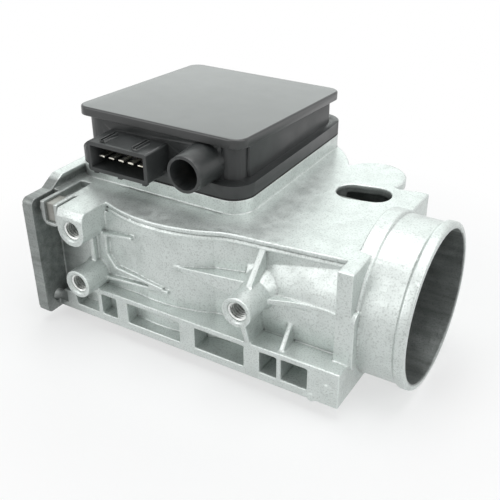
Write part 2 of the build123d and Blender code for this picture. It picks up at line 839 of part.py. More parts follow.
# Screws of the bottom cover, heads down
with BuildPart() as bottom_cover_screws:
    for screw_x, screw_y in cover_screw_places:
        with Locations((screw_x, screw_y, base_bottom)):
            Cylinder(cover_screw_radius, cover_screw_length, align=(Align.CENTER, Align.CENTER, Align.MIN))
            Cylinder(
                cover_screw_head_radius, cover_screw_head,
                align=(Align.CENTER, Align.CENTER, Align.MAX),
            )
bottom_cover_screws.part.label = "bottom_cover_screws"
export_step(bottom_cover_screws.part, "parts/bottom_cover_screws.step")

# Bearings: a flanged bush in the deck and a plain bush in the cover's cup
with BuildPart() as upper_bearing:
    with BuildSketch(Plane.XZ.offset(-pivot_y)):
        with BuildLine():
            Polyline(
                (pivot_x + spindle_radius + spindle_clearance, duct_top),
                (pivot_x + bearing_radius, duct_top),
                (pivot_x + bearing_radius, bearing_boss_top),
                (pivot_x + bearing_flange_radius, bearing_boss_top),
                (pivot_x + bearing_flange_radius, bearing_boss_top + bearing_flange_thickness),
                (pivot_x + spindle_radius + spindle_clearance, bearing_boss_top + bearing_flange_thickness),
                close=True,
            )
        make_face()
    revolve(axis=Axis((pivot_x, pivot_y, 0), (0, 0, 1)))
upper_bearing.part.label = "upper_bearing"
export_step(upper_bearing.part, "parts/upper_bearing.step")

with BuildPart() as lower_bearing:
    with BuildSketch(Plane.XY.offset(cover_inner_z - lower_bearing_length)):
        with Locations((pivot_x, pivot_y)):
            Circle(lower_bearing_radius)
            Circle(journal_radius + spindle_clearance, mode=Mode.SUBTRACT)
    extrude(amount=lower_bearing_length)
lower_bearing.part.label = "lower_bearing"
export_step(lower_bearing.part, "parts/lower_bearing.step")

# Spindle with a thinner lower journal
journal_bottom = cover_inner_z - lower_bearing_length + flap_gap / 2
with BuildPart() as spindle:
    with BuildSketch(Plane.XZ.offset(-pivot_y)):
        with BuildLine():
            Polyline(
                (pivot_x, journal_bottom), (pivot_x + journal_radius, journal_bottom),
                (pivot_x + journal_radius, cover_inner_z + flap_gap),
                (pivot_x + spindle_radius, cover_inner_z + flap_gap),
                (pivot_x + spindle_radius, spindle_top), (pivot_x, spindle_top), close=True,
            )
        make_face()
    revolve(axis=Axis((pivot_x, pivot_y, 0), (0, 0, 1)))
spindle.part.label = "spindle"
export_step(spindle.part, "parts/spindle.step")

# Flap casting: measuring flap, damping flap and hub in one piece
flap_bottom = cover_inner_z + flap_gap
flap_top = duct_top - flap_gap
flap_wings = [
    (flap_rest_angle, flap_sweep_radius - flap_gap),
    (damper_rest_angle, damper_sweep_radius - flap_gap),
]
with BuildPart() as flap_casting:
    with BuildSketch(Plane.XY.offset(flap_bottom)):
        for angle, sweep in flap_wings:
            with Locations(Location((pivot_x, pivot_y), angle)):
                Rectangle(sweep, flap_thickness, align=(Align.MIN, Align.CENTER))
        with Locations((pivot_x, pivot_y)):
            Circle(flap_hub_radius)
    extrude(amount=flap_top - flap_bottom)
    for angle, sweep in flap_wings:
        flap_plane = Plane(
            origin=(pivot_x, pivot_y, (flap_bottom + flap_top) / 2),
            x_dir=(cos(radians(angle)), sin(radians(angle)), 0),
            z_dir=(-sin(radians(angle)), cos(radians(angle)), 0),
        )
        with BuildSketch(flap_plane.offset(flap_thickness / 2)):
            with Locations(((sweep + flap_rib_start) / 2, 0)):
                Rectangle(sweep - flap_rib_start, flap_top - flap_bottom - 2 * flap_rib_width)
                Rectangle(
                    sweep - flap_rib_start - 2 * flap_rib_width,
                    flap_top - flap_bottom - 4 * flap_rib_width, mode=Mode.SUBTRACT,
                )
                Rectangle(sweep - flap_rib_start, flap_rib_width)
        extrude(amount=flap_rib_height)
    with Locations((pivot_x, pivot_y, flap_top)):
        Hole(spindle_radius + press_play)
    with Locations(*[Location((pivot_x, pivot_y, z), (0, 90, flap_pin_angle)) for z in flap_pin_levels]):
        Cylinder(
            flap_pin_radius + press_play, flap_hub_radius + 1,
            align=(Align.CENTER, Align.CENTER, Align.MIN), mode=Mode.SUBTRACT,
        )
flap_casting.part.label = "flap_casting"
export_step(flap_casting.part, "parts/flap_casting.step")

# Grub screws that clamp the flap casting on the spindle
with BuildPart() as flap_grub_screws:
    with Locations(*[Location((pivot_x, pivot_y, z), (0, 90, flap_pin_angle)) for z in flap_pin_levels]):
        Cylinder(
            flap_pin_radius, flap_hub_radius - flap_gap,
            align=(Align.CENTER, Align.CENTER, Align.MIN),
        )
    with BuildSketch(Plane.XY.offset(flap_bottom)):
        with Locations((pivot_x, pivot_y)):
            Circle(spindle_radius + press_play)
    extrude(amount=flap_top - flap_bottom, mode=Mode.SUBTRACT)
flap_grub_screws.part.label = "flap_grub_screws"
export_step(flap_grub_screws.part, "parts/flap_grub_screws.step")

# Rubber stop for the closed flap, on the inlet's rear wall
stop_reach = inlet_rear_y - stop_front_y
with BuildPart() as flap_stop:
    with BuildSketch(Plane.XZ.offset(-inlet_rear_y)):
        with Locations((stop_x, 0)):
            Circle(stop_radius)
    extrude(amount=stop_reach)
flap_stop.part.label = "flap_stop"
export_step(flap_stop.part, "parts/flap_stop.step")

# Air temperature sensor: a foot on the inlet's rear wall, a stem and the bead in its cage
with BuildPart() as air_temperature_sensor:
    with BuildSketch(Plane.XZ.offset(-inlet_rear_y)):
        with Locations((sensor_x, 0)):
            SlotOverall(sensor_foot_length, sensor_foot_width)
    extrude(amount=sensor_foot_height)
    with BuildSketch(Plane.XZ.offset(-inlet_rear_y)):
        with Locations((sensor_x, 0)):
            Circle(sensor_stem_radius)
    extrude(amount=sensor_reach - sensor_bead_radius)
    with Locations((sensor_x, inlet_rear_y - sensor_reach + sensor_bead_radius, 0)):
        Sphere(sensor_bead_radius)
air_temperature_sensor.part.label = "air_temperature_sensor"
export_step(air_temperature_sensor.part, "parts/air_temperature_sensor.step")

# Captive square nuts in the flange pockets
with BuildPart() as flange_nuts:
    with BuildSketch(Plane.YZ.offset(pocket_start_x)):
        with Locations((0, nut_z)):
            with GridLocations(bolt_spacing_y, 0, 2, 1):
                Rectangle(nut_side, nut_side)
                Circle(nut_hole_radius, mode=Mode.SUBTRACT)
    extrude(amount=nut_thickness)
flange_nuts.part.label = "flange_nuts"
export_step(flange_nuts.part, "parts/flange_nuts.step")

# Gasket under the control housing
with BuildPart() as housing_gasket:
    with BuildSketch(Plane.XY.offset(pad_top)):
        add(flange_ring_plan)
        add(pad_inner_plan, mode=Mode.SUBTRACT)
        with Locations(*housing_screw_places):
            Circle(housing_lug_radius)
            Circle(housing_screw_radius + press_play, mode=Mode.SUBTRACT)
    extrude(amount=gasket_thickness)
housing_gasket.part.label = "housing_gasket"
export_step(housing_gasket.part, "parts/housing_gasket.step")

# Control housing: flange, walls, terminal socket and trimmer tube in one moulding
wall_front_y = lid_front_y + housing_wall_inset
wall_inner_y = wall_front_y + housing_wall
terminal_places = [
    socket_centre_x + (i - (terminal_count - 1) / 2) * terminal_pitch for i in range(terminal_count)
]
with BuildPart() as control_housing:
    with BuildSketch(Plane.XY.offset(gasket_top)):
        add(flange_ring_plan)
    extrude(amount=housing_flange_top - gasket_top)
    with BuildSketch(Plane.XY.offset(gasket_top)):
        add(housing_outer_plan)
    extrude(amount=lid_front_top - gasket_top)
    split(bisect_by=lid_seat_plane, keep=Keep.BOTTOM)

    # Recessed round corner beside the tube
    corner_x = lid_right_x - housing_wall_inset - corner_recess_reach
    corner_y = wall_front_y + corner_recess_reach
    with BuildSketch(Plane.XY.offset(housing_flange_top)):
        with Locations((corner_x, corner_y)):
            Rectangle(2 * corner_recess_reach, 2 * corner_recess_reach, align=(Align.MIN, Align.MAX))
            Circle(corner_recess_reach - corner_recess, mode=Mode.SUBTRACT)
    extrude(amount=lid_front_top - housing_flange_top, mode=Mode.SUBTRACT)

    # Socket and tube, reaching forward from the front wall
    with BuildSketch(Plane.XZ.offset(-socket_front_y)):
        with Locations((socket_centre_x, (socket_bottom + socket_top) / 2)):
            RectangleRounded(socket_width, socket_top - socket_bottom, socket_round)
    extrude(amount=socket_front_y - wall_front_y - housing_wall / 2)
    with BuildSketch(Plane.XZ.offset(-socket_front_y - socket_wall / 2)):
        with Locations((socket_centre_x - socket_bulge, (socket_bottom + socket_top) / 2)):
            RectangleRounded(socket_width, socket_top - socket_bottom - socket_wall, socket_bulge_round)
    extrude(amount=socket_front_y + socket_wall / 2 - wall_front_y - housing_wall / 2)
    for rail_x in (socket_centre_x - socket_rail_offset, socket_centre_x + socket_rail_offset):
        with BuildSketch(Plane.XZ.offset(-socket_front_y - socket_wall)):
            with Locations((rail_x, socket_top)):
                Rectangle(socket_rail_width, 2 * socket_rail_height)
            with Locations((rail_x, socket_top + socket_rail_height)):
                Rectangle(socket_rail_groove, socket_rail_height, mode=Mode.SUBTRACT)
        extrude(amount=-socket_rail_length)
    with BuildSketch(Plane.XZ.offset(-socket_front_y - socket_wall / 2)):
        with Locations((socket_centre_x, socket_bottom)):
            with GridLocations(socket_foot_spacing, 0, 3, 1):
                Rectangle(socket_foot_width, 2 * socket_foot_drop)
    extrude(amount=-socket_foot_width)
    with Locations(Location((tube_x, wall_front_y + housing_wall / 2, tube_z), (90, 0, 0))):
        Cone(
            tube_root_radius, tube_radius, wall_front_y + housing_wall / 2 - socket_front_y,
            align=(Align.CENTER, Align.CENTER, Align.MIN),
        )

    # Inside of the housing, of the socket and of the tube
    with BuildSketch(Plane.XY.offset(gasket_top)):
        add(housing_inner_plan)
    extrude(amount=lid_front_top - gasket_top, mode=Mode.SUBTRACT)
    with BuildSketch(Plane.XZ.offset(-socket_front_y)):
        with Locations((socket_centre_x, (socket_bottom + socket_top) / 2)):
            Rectangle(socket_width - 2 * socket_wall, socket_top - socket_bottom - 2 * socket_wall)
        with Locations((tube_x, tube_z)):
            Circle(tube_bore_radius)
    extrude(amount=socket_front_y - wall_front_y, mode=Mode.SUBTRACT)
    with BuildSketch(Plane.XZ.offset(-wall_front_y)):
        with Locations(*[(x, terminal_z) for x in terminal_places]):
            Rectangle(terminal_width, terminal_thickness)
        with Locations((tube_x, tube_z)):
            Circle(trimmer_hole_radius)
    extrude(amount=-housing_wall, mode=Mode.SUBTRACT)

    # Screw lugs in the corners
    with BuildSketch(Plane.XY.offset(gasket_top)):
        with Locations(*housing_screw_places):
            Circle(housing_lug_radius)
    extrude(amount=housing_lug_height)
    with BuildSketch(Plane.XY.offset(gasket_top)):
        with Locations(*housing_screw_places):
            Circle(housing_screw_radius + press_play)
    extrude(amount=housing_lug_height, mode=Mode.SUBTRACT)
control_housing.part.label = "control_housing"
export_step(control_housing.part, "parts/control_housing.step")

# Screws of the control housing
with BuildPart() as housing_screws:
    with Locations(*[(x, y, gasket_top + housing_lug_height) for x, y in housing_screw_places]):
        Cylinder(
            housing_screw_head_radius, housing_screw_head,
            align=(Align.CENTER, Align.CENTER, Align.MIN),
        )
        Cylinder(
            housing_screw_radius, housing_screw_length + housing_lug_height,
            align=(Align.CENTER, Align.CENTER, Align.MAX),
        )
housing_screws.part.label = "housing_screws"
export_step(housing_screws.part, "parts/housing_screws.step")

# Lid, sloping down to the rear, with a skirt inside the walls
with BuildPart() as lid:
    with BuildSketch(lid_top_plane):
        RectangleRounded(lid_right_x - lid_left_x, lid_rear_y - lid_front_y, lid_corner_radius)
    extrude(amount=-lid_thickness)
    top_edges = faces().filter_by(lambda f: f.normal_at().dot(lid_top_plane.z_dir) > 0.99).edges()
    fillet(top_edges, lid_edge_round)
    with BuildSketch(lid_seat_plane):
        RectangleRounded(
            lid_right_x - lid_left_x - 2 * skirt_inset, lid_rear_y - lid_front_y - 2 * skirt_inset,
            skirt_corner_radius,
        )
        RectangleRounded(
            lid_right_x - lid_left_x - 2 * (skirt_inset + lid_skirt_width),
            lid_rear_y - lid_front_y - 2 * (skirt_inset + lid_skirt_width),
            skirt_corner_radius - lid_skirt_width, mode=Mode.SUBTRACT,
        )
    extrude(amount=-lid_skirt_depth)
lid.part.label = "lid"
export_step(lid.part, "parts/lid.step")

# Terminal blades and the strips that join them to the resistor board
with BuildPart() as terminal_blades:
    with BuildSketch(Plane.XZ.offset(-terminal_tip_y)):
        with Locations(*[(x, terminal_z) for x in terminal_places]):
            Rectangle(terminal_width, terminal_thickness)
    extrude(amount=terminal_tip_y - terminal_rear_y)
terminal_blades.part.label = "terminal_blades"
export_step(terminal_blades.part, "parts/terminal_blades.step")

with BuildPart() as contact_strips:
    for strip_x in terminal_places:
        with BuildSketch(Plane.YZ.offset(strip_x - strip_width / 2)):
            with BuildLine():
                Polyline(
                    (terminal_rear_y, terminal_z - strip_thickness / 2),
                    (terminal_rear_y, terminal_z + strip_thickness / 2),
                    (terminal_rear_y + strip_bend, terminal_z + strip_thickness / 2),
                    (board_front_y + strip_landing / 2, board_top + strip_thickness),
                    (board_front_y + strip_landing, board_top + strip_thickness),
                    (board_front_y + strip_landing, board_top),
                    (board_front_y + strip_landing / 2 - strip_thickness, board_top),
                    (terminal_rear_y + strip_bend - strip_thickness, terminal_z - strip_thickness / 2),
                    close=True,
                )
            make_face()
        extrude(amount=strip_width)
contact_strips.part.label = "contact_strips"
export_step(contact_strips.part, "parts/contact_strips.step")

# Resistor board and its screws
with BuildPart() as resistor_board:
    with BuildSketch(Plane.XY.offset(board_top - board_thickness)):
        add(sector_plan(board_outer_radius, board_start_angle, board_end_angle))
        with Locations((pivot_x, pivot_y)):
            Circle(board_inner_radius, mode=Mode.SUBTRACT)
        with Locations((board_tab_left_x, board_front_y)):
            Rectangle(
                board_tab_right_x - board_tab_left_x, board_tab_rear_y - board_front_y,
                align=(Align.MIN, Align.MIN),
            )
        with Locations(*board_screw_places):
            Circle(board_screw_radius + press_play, mode=Mode.SUBTRACT)
    extrude(amount=board_thickness)
resistor_board.part.label = "resistor_board"
export_step(resistor_board.part, "parts/resistor_board.step")

with BuildPart() as board_screws:
    with Locations(*[(x, y, board_top) for x, y in board_screw_places]):
        Cylinder(
            board_screw_head_radius, board_screw_head, align=(Align.CENTER, Align.CENTER, Align.MIN)
        )
        Cylinder(
            board_screw_radius, board_screw_length, align=(Align.CENTER, Align.CENTER, Align.MAX)
        )
board_screws.part.label = "board_screws"
export_step(board_screws.part, "parts/board_screws.step")

# Toothed tension wheel with the post that holds the spring's outer end
spring_outer_radius = spring_inner_radius + spring_turns * spring_pitch
with BuildPart() as tension_wheel:
    with BuildSketch(Plane.XY.offset(bearing_boss_top)):
        with Locations((pivot_x, pivot_y)):
            Circle(wheel_radius)
            with PolarLocations(wheel_radius, wheel_teeth):
                Rectangle(2 * wheel_tooth_depth, wheel_tooth_depth)
            Circle(bearing_flange_radius + nut_play, mode=Mode.SUBTRACT)
    extrude(amount=wheel_thickness)
    with BuildSketch(Plane.XY.offset(bearing_boss_top + wheel_thickness)):
        with Locations(about_pivot(spring_outer_radius + spring_post_radius + spring_strip, 0)):
            Circle(spring_post_radius)
    extrude(amount=spring_bottom + spring_height - bearing_boss_top - wheel_thickness)
tension_wheel.part.label = "tension_wheel"
export_step(tension_wheel.part, "parts/tension_wheel.step")

# Clip that locks the wheel, and its screw
with BuildPart() as wheel_clip:
    with BuildSketch(Plane.XY.offset(clip_bottom)):
        clip_start = about_pivot(wheel_radius + wheel_tooth_depth + press_play, clip_angle)
        with Locations(Location(clip_start, clip_angle)):
            Rectangle(
                clip_screw_reach - wheel_radius, clip_width, align=(Align.MIN, Align.CENTER)
            )
        with Locations(clip_place):
            Circle(clip_width / 2 + press_play)
            Circle(board_screw_radius + press_play, mode=Mode.SUBTRACT)
    extrude(amount=clip_thickness)
wheel_clip.part.label = "wheel_clip"
export_step(wheel_clip.part, "parts/wheel_clip.step")

with BuildPart() as clip_screw:
    with Locations((*clip_place, clip_bottom + clip_thickness)):
        Cylinder(
            board_screw_head_radius, board_screw_head, align=(Align.CENTER, Align.CENTER, Align.MIN)
        )
        Cylinder(
            board_screw_radius, board_screw_length, align=(Align.CENTER, Align.CENTER, Align.MAX)
        )
clip_screw.part.label = "clip_screw"
export_step(clip_screw.part, "parts/clip_screw.step")

# Spiral return spring, wound from half turns whose centres swap sides
with BuildPart() as return_spring:
    with BuildSketch(Plane.XY.offset(spring_bottom)):
        for half_turn in range(2 * spring_turns):
            turn_radius = spring_inner_radius + (half_turn + 1) * spring_pitch / 2
            shift = spring_pitch / 4 if half_turn % 2 else -spring_pitch / 4
            with BuildSketch(mode=Mode.PRIVATE) as half_ring:
                with Locations((pivot_x + shift, pivot_y)):
                    Circle(turn_radius - spring_pitch / 4 + spring_strip / 2)
                    Circle(turn_radius - spring_pitch / 4 - spring_strip / 2, mode=Mode.SUBTRACT)
                with Locations((pivot_x, pivot_y + (wheel_radius if half_turn % 2 else -wheel_radius))):
                    Rectangle(4 * wheel_radius, 2 * wheel_radius, mode=Mode.SUBTRACT)
            add(half_ring.sketch)
    extrude(amount=spring_height)
return_spring.part.label = "return_spring"
export_step(return_spring.part, "parts/return_spring.step")

# Wiper hub, arm, contact, counterweight and the ring that holds them on the spindle
hub_bottom = bearing_boss_top + bearing_flange_thickness + flap_gap / 2
with BuildPart() as wiper_hub:
    with BuildSketch(Plane.XY.offset(hub_bottom)):
        with Locations((pivot_x, pivot_y)):
            Circle(wiper_hub_radius)
    extrude(amount=wiper_plane - hub_bottom)
    with BuildSketch(Plane.XY.offset(wiper_plane)):
        with Locations((pivot_x, pivot_y)):
            Circle(wiper_neck_radius)
    extrude(amount=wiper_hub_top - wiper_plane)
    with Locations((pivot_x, pivot_y, wiper_hub_top)):
        Hole(spindle_radius + press_play)
wiper_hub.part.label = "wiper_hub"
export_step(wiper_hub.part, "parts/wiper_hub.step")

with BuildPart() as wiper_arm:
    with BuildSketch(Plane.XY.offset(wiper_plane)):
        with Locations(Location((pivot_x, pivot_y), wiper_rest_angle)):
            with Locations(((wiper_reach - counterweight_outer) / 2, 0)):
                SlotOverall(wiper_reach + counterweight_outer, wiper_arm_width)
            Circle(wiper_hub_radius + wiper_arm_width / 2)
            Circle(wiper_neck_radius + press_play, mode=Mode.SUBTRACT)
    extrude(amount=wiper_arm_thickness)
wiper_arm.part.label = "wiper_arm"
export_step(wiper_arm.part, "parts/wiper_arm.step")

with BuildPart() as wiper_contact:
    with BuildSketch(Plane.XY.offset(board_top + wiper_gap)):
        contact_place = about_pivot(wiper_reach - contact_size, wiper_rest_angle)
        with Locations(Location(contact_place, wiper_rest_angle)):
            Rectangle(contact_size, contact_size)
    extrude(amount=wiper_plane - board_top - wiper_gap)
wiper_contact.part.label = "wiper_contact"
export_step(wiper_contact.part, "parts/wiper_contact.step")

with BuildPart() as counterweight:
    with BuildSketch(Plane.XY.offset(wiper_plane + wiper_arm_thickness)):
        add(sector_plan(
            counterweight_outer, wiper_rest_angle + 180 - counterweight_half_angle,
            wiper_rest_angle + 180 + counterweight_half_angle,
        ))
        with Locations((pivot_x, pivot_y)):
            Circle(counterweight_inner, mode=Mode.SUBTRACT)
    extrude(amount=counterweight_thickness)
counterweight.part.label = "counterweight"
export_step(counterweight.part, "parts/counterweight.step")

with BuildPart() as spindle_ring:
    with BuildSketch(Plane.XY.offset(wiper_hub_top)):
        with Locations((pivot_x, pivot_y)):
            Circle(wiper_hub_radius)
            Circle(spindle_radius + press_play, mode=Mode.SUBTRACT)
    extrude(amount=strip_thickness * 2)
spindle_ring.part.label = "spindle_ring"
export_step(spindle_ring.part, "parts/spindle_ring.step")

# Mixture trimmer behind the tube: its body in the housing and the slotted screw
with BuildPart() as trimmer_body:
    with BuildSketch(Plane.XZ.offset(-wall_inner_y)):
        with Locations((tube_x, tube_z)):
            Circle(trimmer_radius)
            Circle(trimmer_stem_radius + spindle_clearance, mode=Mode.SUBTRACT)
    extrude(amount=-trimmer_length)
trimmer_body.part.label = "trimmer_body"
export_step(trimmer_body.part, "parts/trimmer_body.step")

with BuildPart() as trimmer_screw:
    with BuildSketch(Plane.XZ.offset(-wall_front_y + trimmer_head_gap)):
        with Locations((tube_x, tube_z)):
            Circle(trimmer_head_radius)
    extrude(amount=trimmer_head)
    with BuildSketch(Plane.XZ.offset(-wall_front_y + trimmer_head_gap)):
        with Locations((tube_x, tube_z)):
            Circle(trimmer_stem_radius)
    extrude(amount=-(trimmer_length + housing_wall))
    with BuildSketch(Plane.XZ.offset(-wall_front_y + trimmer_head_gap + trimmer_head)):
        with Locations((tube_x, tube_z)):
            Rectangle(2 * trimmer_head_radius, trimmer_slot)
    extrude(amount=-trimmer_slot, mode=Mode.SUBTRACT)
trimmer_screw.part.label = "trimmer_screw"
export_step(trimmer_screw.part, "parts/trimmer_screw.step")
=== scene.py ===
"""Studio view of a vane type air flow meter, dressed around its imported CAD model.

Lengths are in metres, in the frame of the CAD: X runs along the air flow, from the inlet flange to
the outlet spigot, Y points to the rear and Z is up. The CAD nodes stay where they are. A piece that
needs rounder edges or finer detail than its node is built here and rides on the node's body.
"""

from __future__ import annotations

import json
import logging
import math
from collections.abc import Sequence
from dataclasses import dataclass
from enum import Enum

import bmesh
import bpy
from mathutils import Matrix, Vector


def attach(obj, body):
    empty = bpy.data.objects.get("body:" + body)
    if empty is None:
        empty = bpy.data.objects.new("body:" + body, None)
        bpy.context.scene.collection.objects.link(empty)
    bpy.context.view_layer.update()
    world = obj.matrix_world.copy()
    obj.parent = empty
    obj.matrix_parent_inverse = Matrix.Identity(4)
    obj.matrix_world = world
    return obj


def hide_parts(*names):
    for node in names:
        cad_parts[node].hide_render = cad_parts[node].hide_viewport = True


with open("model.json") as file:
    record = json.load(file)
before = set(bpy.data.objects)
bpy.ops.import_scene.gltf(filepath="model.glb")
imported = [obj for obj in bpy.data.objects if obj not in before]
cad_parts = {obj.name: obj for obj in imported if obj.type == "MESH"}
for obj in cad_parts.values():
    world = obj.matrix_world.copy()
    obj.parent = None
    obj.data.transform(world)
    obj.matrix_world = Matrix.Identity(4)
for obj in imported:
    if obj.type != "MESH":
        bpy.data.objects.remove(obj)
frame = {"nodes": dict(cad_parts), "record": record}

log = logging.getLogger("air_flow_meter")

MM = 0.001
Colour = tuple[float, float, float]
Point = tuple[float, float, float]
Spread = tuple[float, float, float, float]
WHITE = (1.0, 1.0, 1.0)
# Nearly all of a noise pattern lies between these two values.
NOISE_SPAN = (0.3, 0.7)


class Body(Enum):
    """The bodies that pieces ride on."""

    HOUSING = "housing"
    FLAP = "flap"
    TRIMMER = "trimmer"


class NoiseKind(Enum):
    """How fine a noise pattern is, as octaves of detail."""

    SOFT = 2.0
    GRAIN = 6.0
    FINE = 10.0


class ShaderTree:
    """A material's nodes, with short calls that add and join them."""

    def __init__(self, name: str) -> None:
        """Start a material with a principled surface.

        Args:
            name: The material's name.
        """
        self.material = bpy.data.materials.new(name)
        self.material.use_nodes = True
        self.nodes = self.material.node_tree.nodes
        self.links = self.material.node_tree.links
        self.surface = self.nodes["Principled BSDF"]
        self.place = self.nodes.new("ShaderNodeTexCoord").outputs["Object"]

    def set(self, **values: float | tuple[float, ...]) -> None:
        """Set sockets of the surface by name, with underscores for spaces."""
        for name, value in values.items():
            self.surface.inputs[name.replace("_", " ")].default_value = value

    def stretched(self, factors: Point) -> bpy.types.NodeSocket:
        """Return the object's coordinates, stretched along each axis.

        Args:
            factors: The factor along X, Y and Z.

        Returns:
            The vector socket.
        """
        mapping = self.nodes.new("ShaderNodeMapping")
        mapping.inputs["Scale"].default_value = factors
        self.links.new(self.place, mapping.inputs["Vector"])
        return mapping.outputs["Vector"]

    def noise(
        self, scale: float, kind: NoiseKind, place: bpy.types.NodeSocket | None = None
    ) -> bpy.types.NodeSocket:
        """Add a noise pattern.

        Args:
            scale: Patches per metre.
            kind: How fine the pattern is.
            place: The coordinates, or None for the object's own.

        Returns:
            The pattern's grey value.
        """
        node = self.nodes.new("ShaderNodeTexNoise")
        node.inputs["Scale"].default_value = scale
        node.inputs["Detail"].default_value = kind.value
        self.links.new(place or self.place, node.inputs["Vector"])
        return node.outputs["Fac"]

    def spread(
        self, value: bpy.types.NodeSocket, low: float, high: float, to_low: float, to_high: float
    ) -> bpy.types.NodeSocket:
        """Map a grey value from one range to another, clamped.

        Args:
            value: The grey value.
            low: The value that gives to_low.
            high: The value that gives to_high.
            to_low: The result at low.
            to_high: The result at high.

        Returns:
            The mapped value.
        """
        node = self.nodes.new("ShaderNodeMapRange")
        node.inputs["From Min"].default_value = low
        node.inputs["From Max"].default_value = high
        node.inputs["To Min"].default_value = to_low
        node.inputs["To Max"].default_value = to_high
        self.links.new(value, node.inputs["Value"])
        return node.outputs["Result"]

    def times(
        self, first: bpy.types.NodeSocket, second: bpy.types.NodeSocket | float
    ) -> bpy.types.NodeSocket:
        """Multiply two values.

        Args:
            first: The first value.
            second: The second value, or a number.

        Returns:
            The product.
        """
        node = self.nodes.new("ShaderNodeMath")
        node.operation = "MULTIPLY"
        self.links.new(first, node.inputs[0])
        if isinstance(second, bpy.types.NodeSocket):
            self.links.new(second, node.inputs[1])
        else:
            node.inputs[1].default_value = second
        return node.outputs["Value"]

    def blend(
        self,
        share: bpy.types.NodeSocket,
        first: bpy.types.NodeSocket | Colour,
        second: bpy.types.NodeSocket | Colour,
    ) -> bpy.types.NodeSocket:
        """Blend two colours.

        Args:
            share: How much of the second colour shows.
            first: The first colour.
            second: The second colour.

        Returns:
            The blended colour.
        """
        node = self.nodes.new("ShaderNodeMix")
        node.data_type = "RGBA"
        self.links.new(share, node.inputs["Factor"])
        for name, colour in (("A", first), ("B", second)):
            socket = [s for s in node.inputs if s.name == name and s.type == "RGBA"][0]
            if isinstance(colour, bpy.types.NodeSocket):
                self.links.new(colour, socket)
            else:
                socket.default_value = (*colour, 1.0)
        return [s for s in node.outputs if s.type == "RGBA"][0]

    def axis_value(self, axis: str) -> bpy.types.NodeSocket:
        """Return one of the object's coordinates.

        Args:
            axis: The coordinate's letter.

        Returns:
            The coordinate's value.
        """
        node = self.nodes.new("ShaderNodeSeparateXYZ")
        self.links.new(self.place, node.inputs["Vector"])
        return node.outputs[axis]

    def distance(self, centre: Point, keep: Point) -> bpy.types.NodeSocket:
        """Return the distance to a centre, along the kept axes alone.

        Args:
            centre: The centre in metres.
            keep: 1 for each axis that counts and 0 for the others.

        Returns:
            The distance.
        """
        offset = self.nodes.new("ShaderNodeVectorMath")
        offset.operation = "SUBTRACT"
        offset.inputs[1].default_value = centre
        self.links.new(self.place, offset.inputs[0])
        flat = self.nodes.new("ShaderNodeVectorMath")
        flat.operation = "MULTIPLY"
        flat.inputs[1].default_value = keep
        self.links.new(offset.outputs["Vector"], flat.inputs[0])
        length = self.nodes.new("ShaderNodeVectorMath")
        length.operation = "LENGTH"
        self.links.new(flat.outputs["Vector"], length.inputs[0])
        return length.outputs["Value"]

    def edges(self, low: float, high: float) -> bpy.types.NodeSocket:
        """Return how much of an edge a point is: 0 at the low pointiness and 1 at the high one."""
        geometry = self.nodes.new("ShaderNodeNewGeometry")
        return self.spread(geometry.outputs["Pointiness"], low, high, 0.0, 1.0)

    def bump(
        self,
        height: bpy.types.NodeSocket,
        depth: float,
        under: bpy.types.NodeSocket | None = None,
    ) -> bpy.types.NodeSocket:
        """Add a bump.

        Args:
            height: The height pattern, from 0 to 1.
            depth: The depth in metres.
            under: A bump that this one lies on, or None.

        Returns:
            The normal.
        """
        node = self.nodes.new("ShaderNodeBump")
        node.inputs["Strength"].default_value = 1.0
        node.inputs["Distance"].default_value = depth
        self.links.new(height, node.inputs["Height"])
        if under is not None:
            self.links.new(under, node.inputs["Normal"])
        return node.outputs["Normal"]

    def join(self, value: bpy.types.NodeSocket, name: str) -> None:
        """Join a value to the surface's socket of that name."""
        self.links.new(value, self.surface.inputs[name])


@dataclass(frozen=True)
class PaintedShadeSpot:
    """A round bore or a sunk window of the casting, darkened with painted shade.

    It gets painted shade up to the inner radius about its centre, along the kept axes, and none
    from the outer one.
    Along its axis the painted shade grows from the start to the end. None lies above its ceiling.
    """

    centre: Point
    keep: Point
    inner: float
    outer: float
    axis: str
    start: float
    end: float
    strength: float
    ceiling: float = 1.0
    ceiling_blur: float = 0.3 * MM

    def mask(self, tree: ShaderTree) -> bpy.types.NodeSocket:
        """Return how much painted shade each point gets.

        Args:
            tree: The casting's shader.

        Returns:
            The painted shade, from 0 to the strength.
        """
        near = tree.spread(tree.distance(self.centre, self.keep), self.inner, self.outer, 1.0, 0.0)
        along = tree.spread(tree.axis_value(self.axis), self.start, self.end, 0.0, self.strength)
        under = tree.spread(
            tree.axis_value("Z"), self.ceiling, self.ceiling + self.ceiling_blur, 1.0, 0.0
        )
        return tree.times(tree.times(near, along), under)


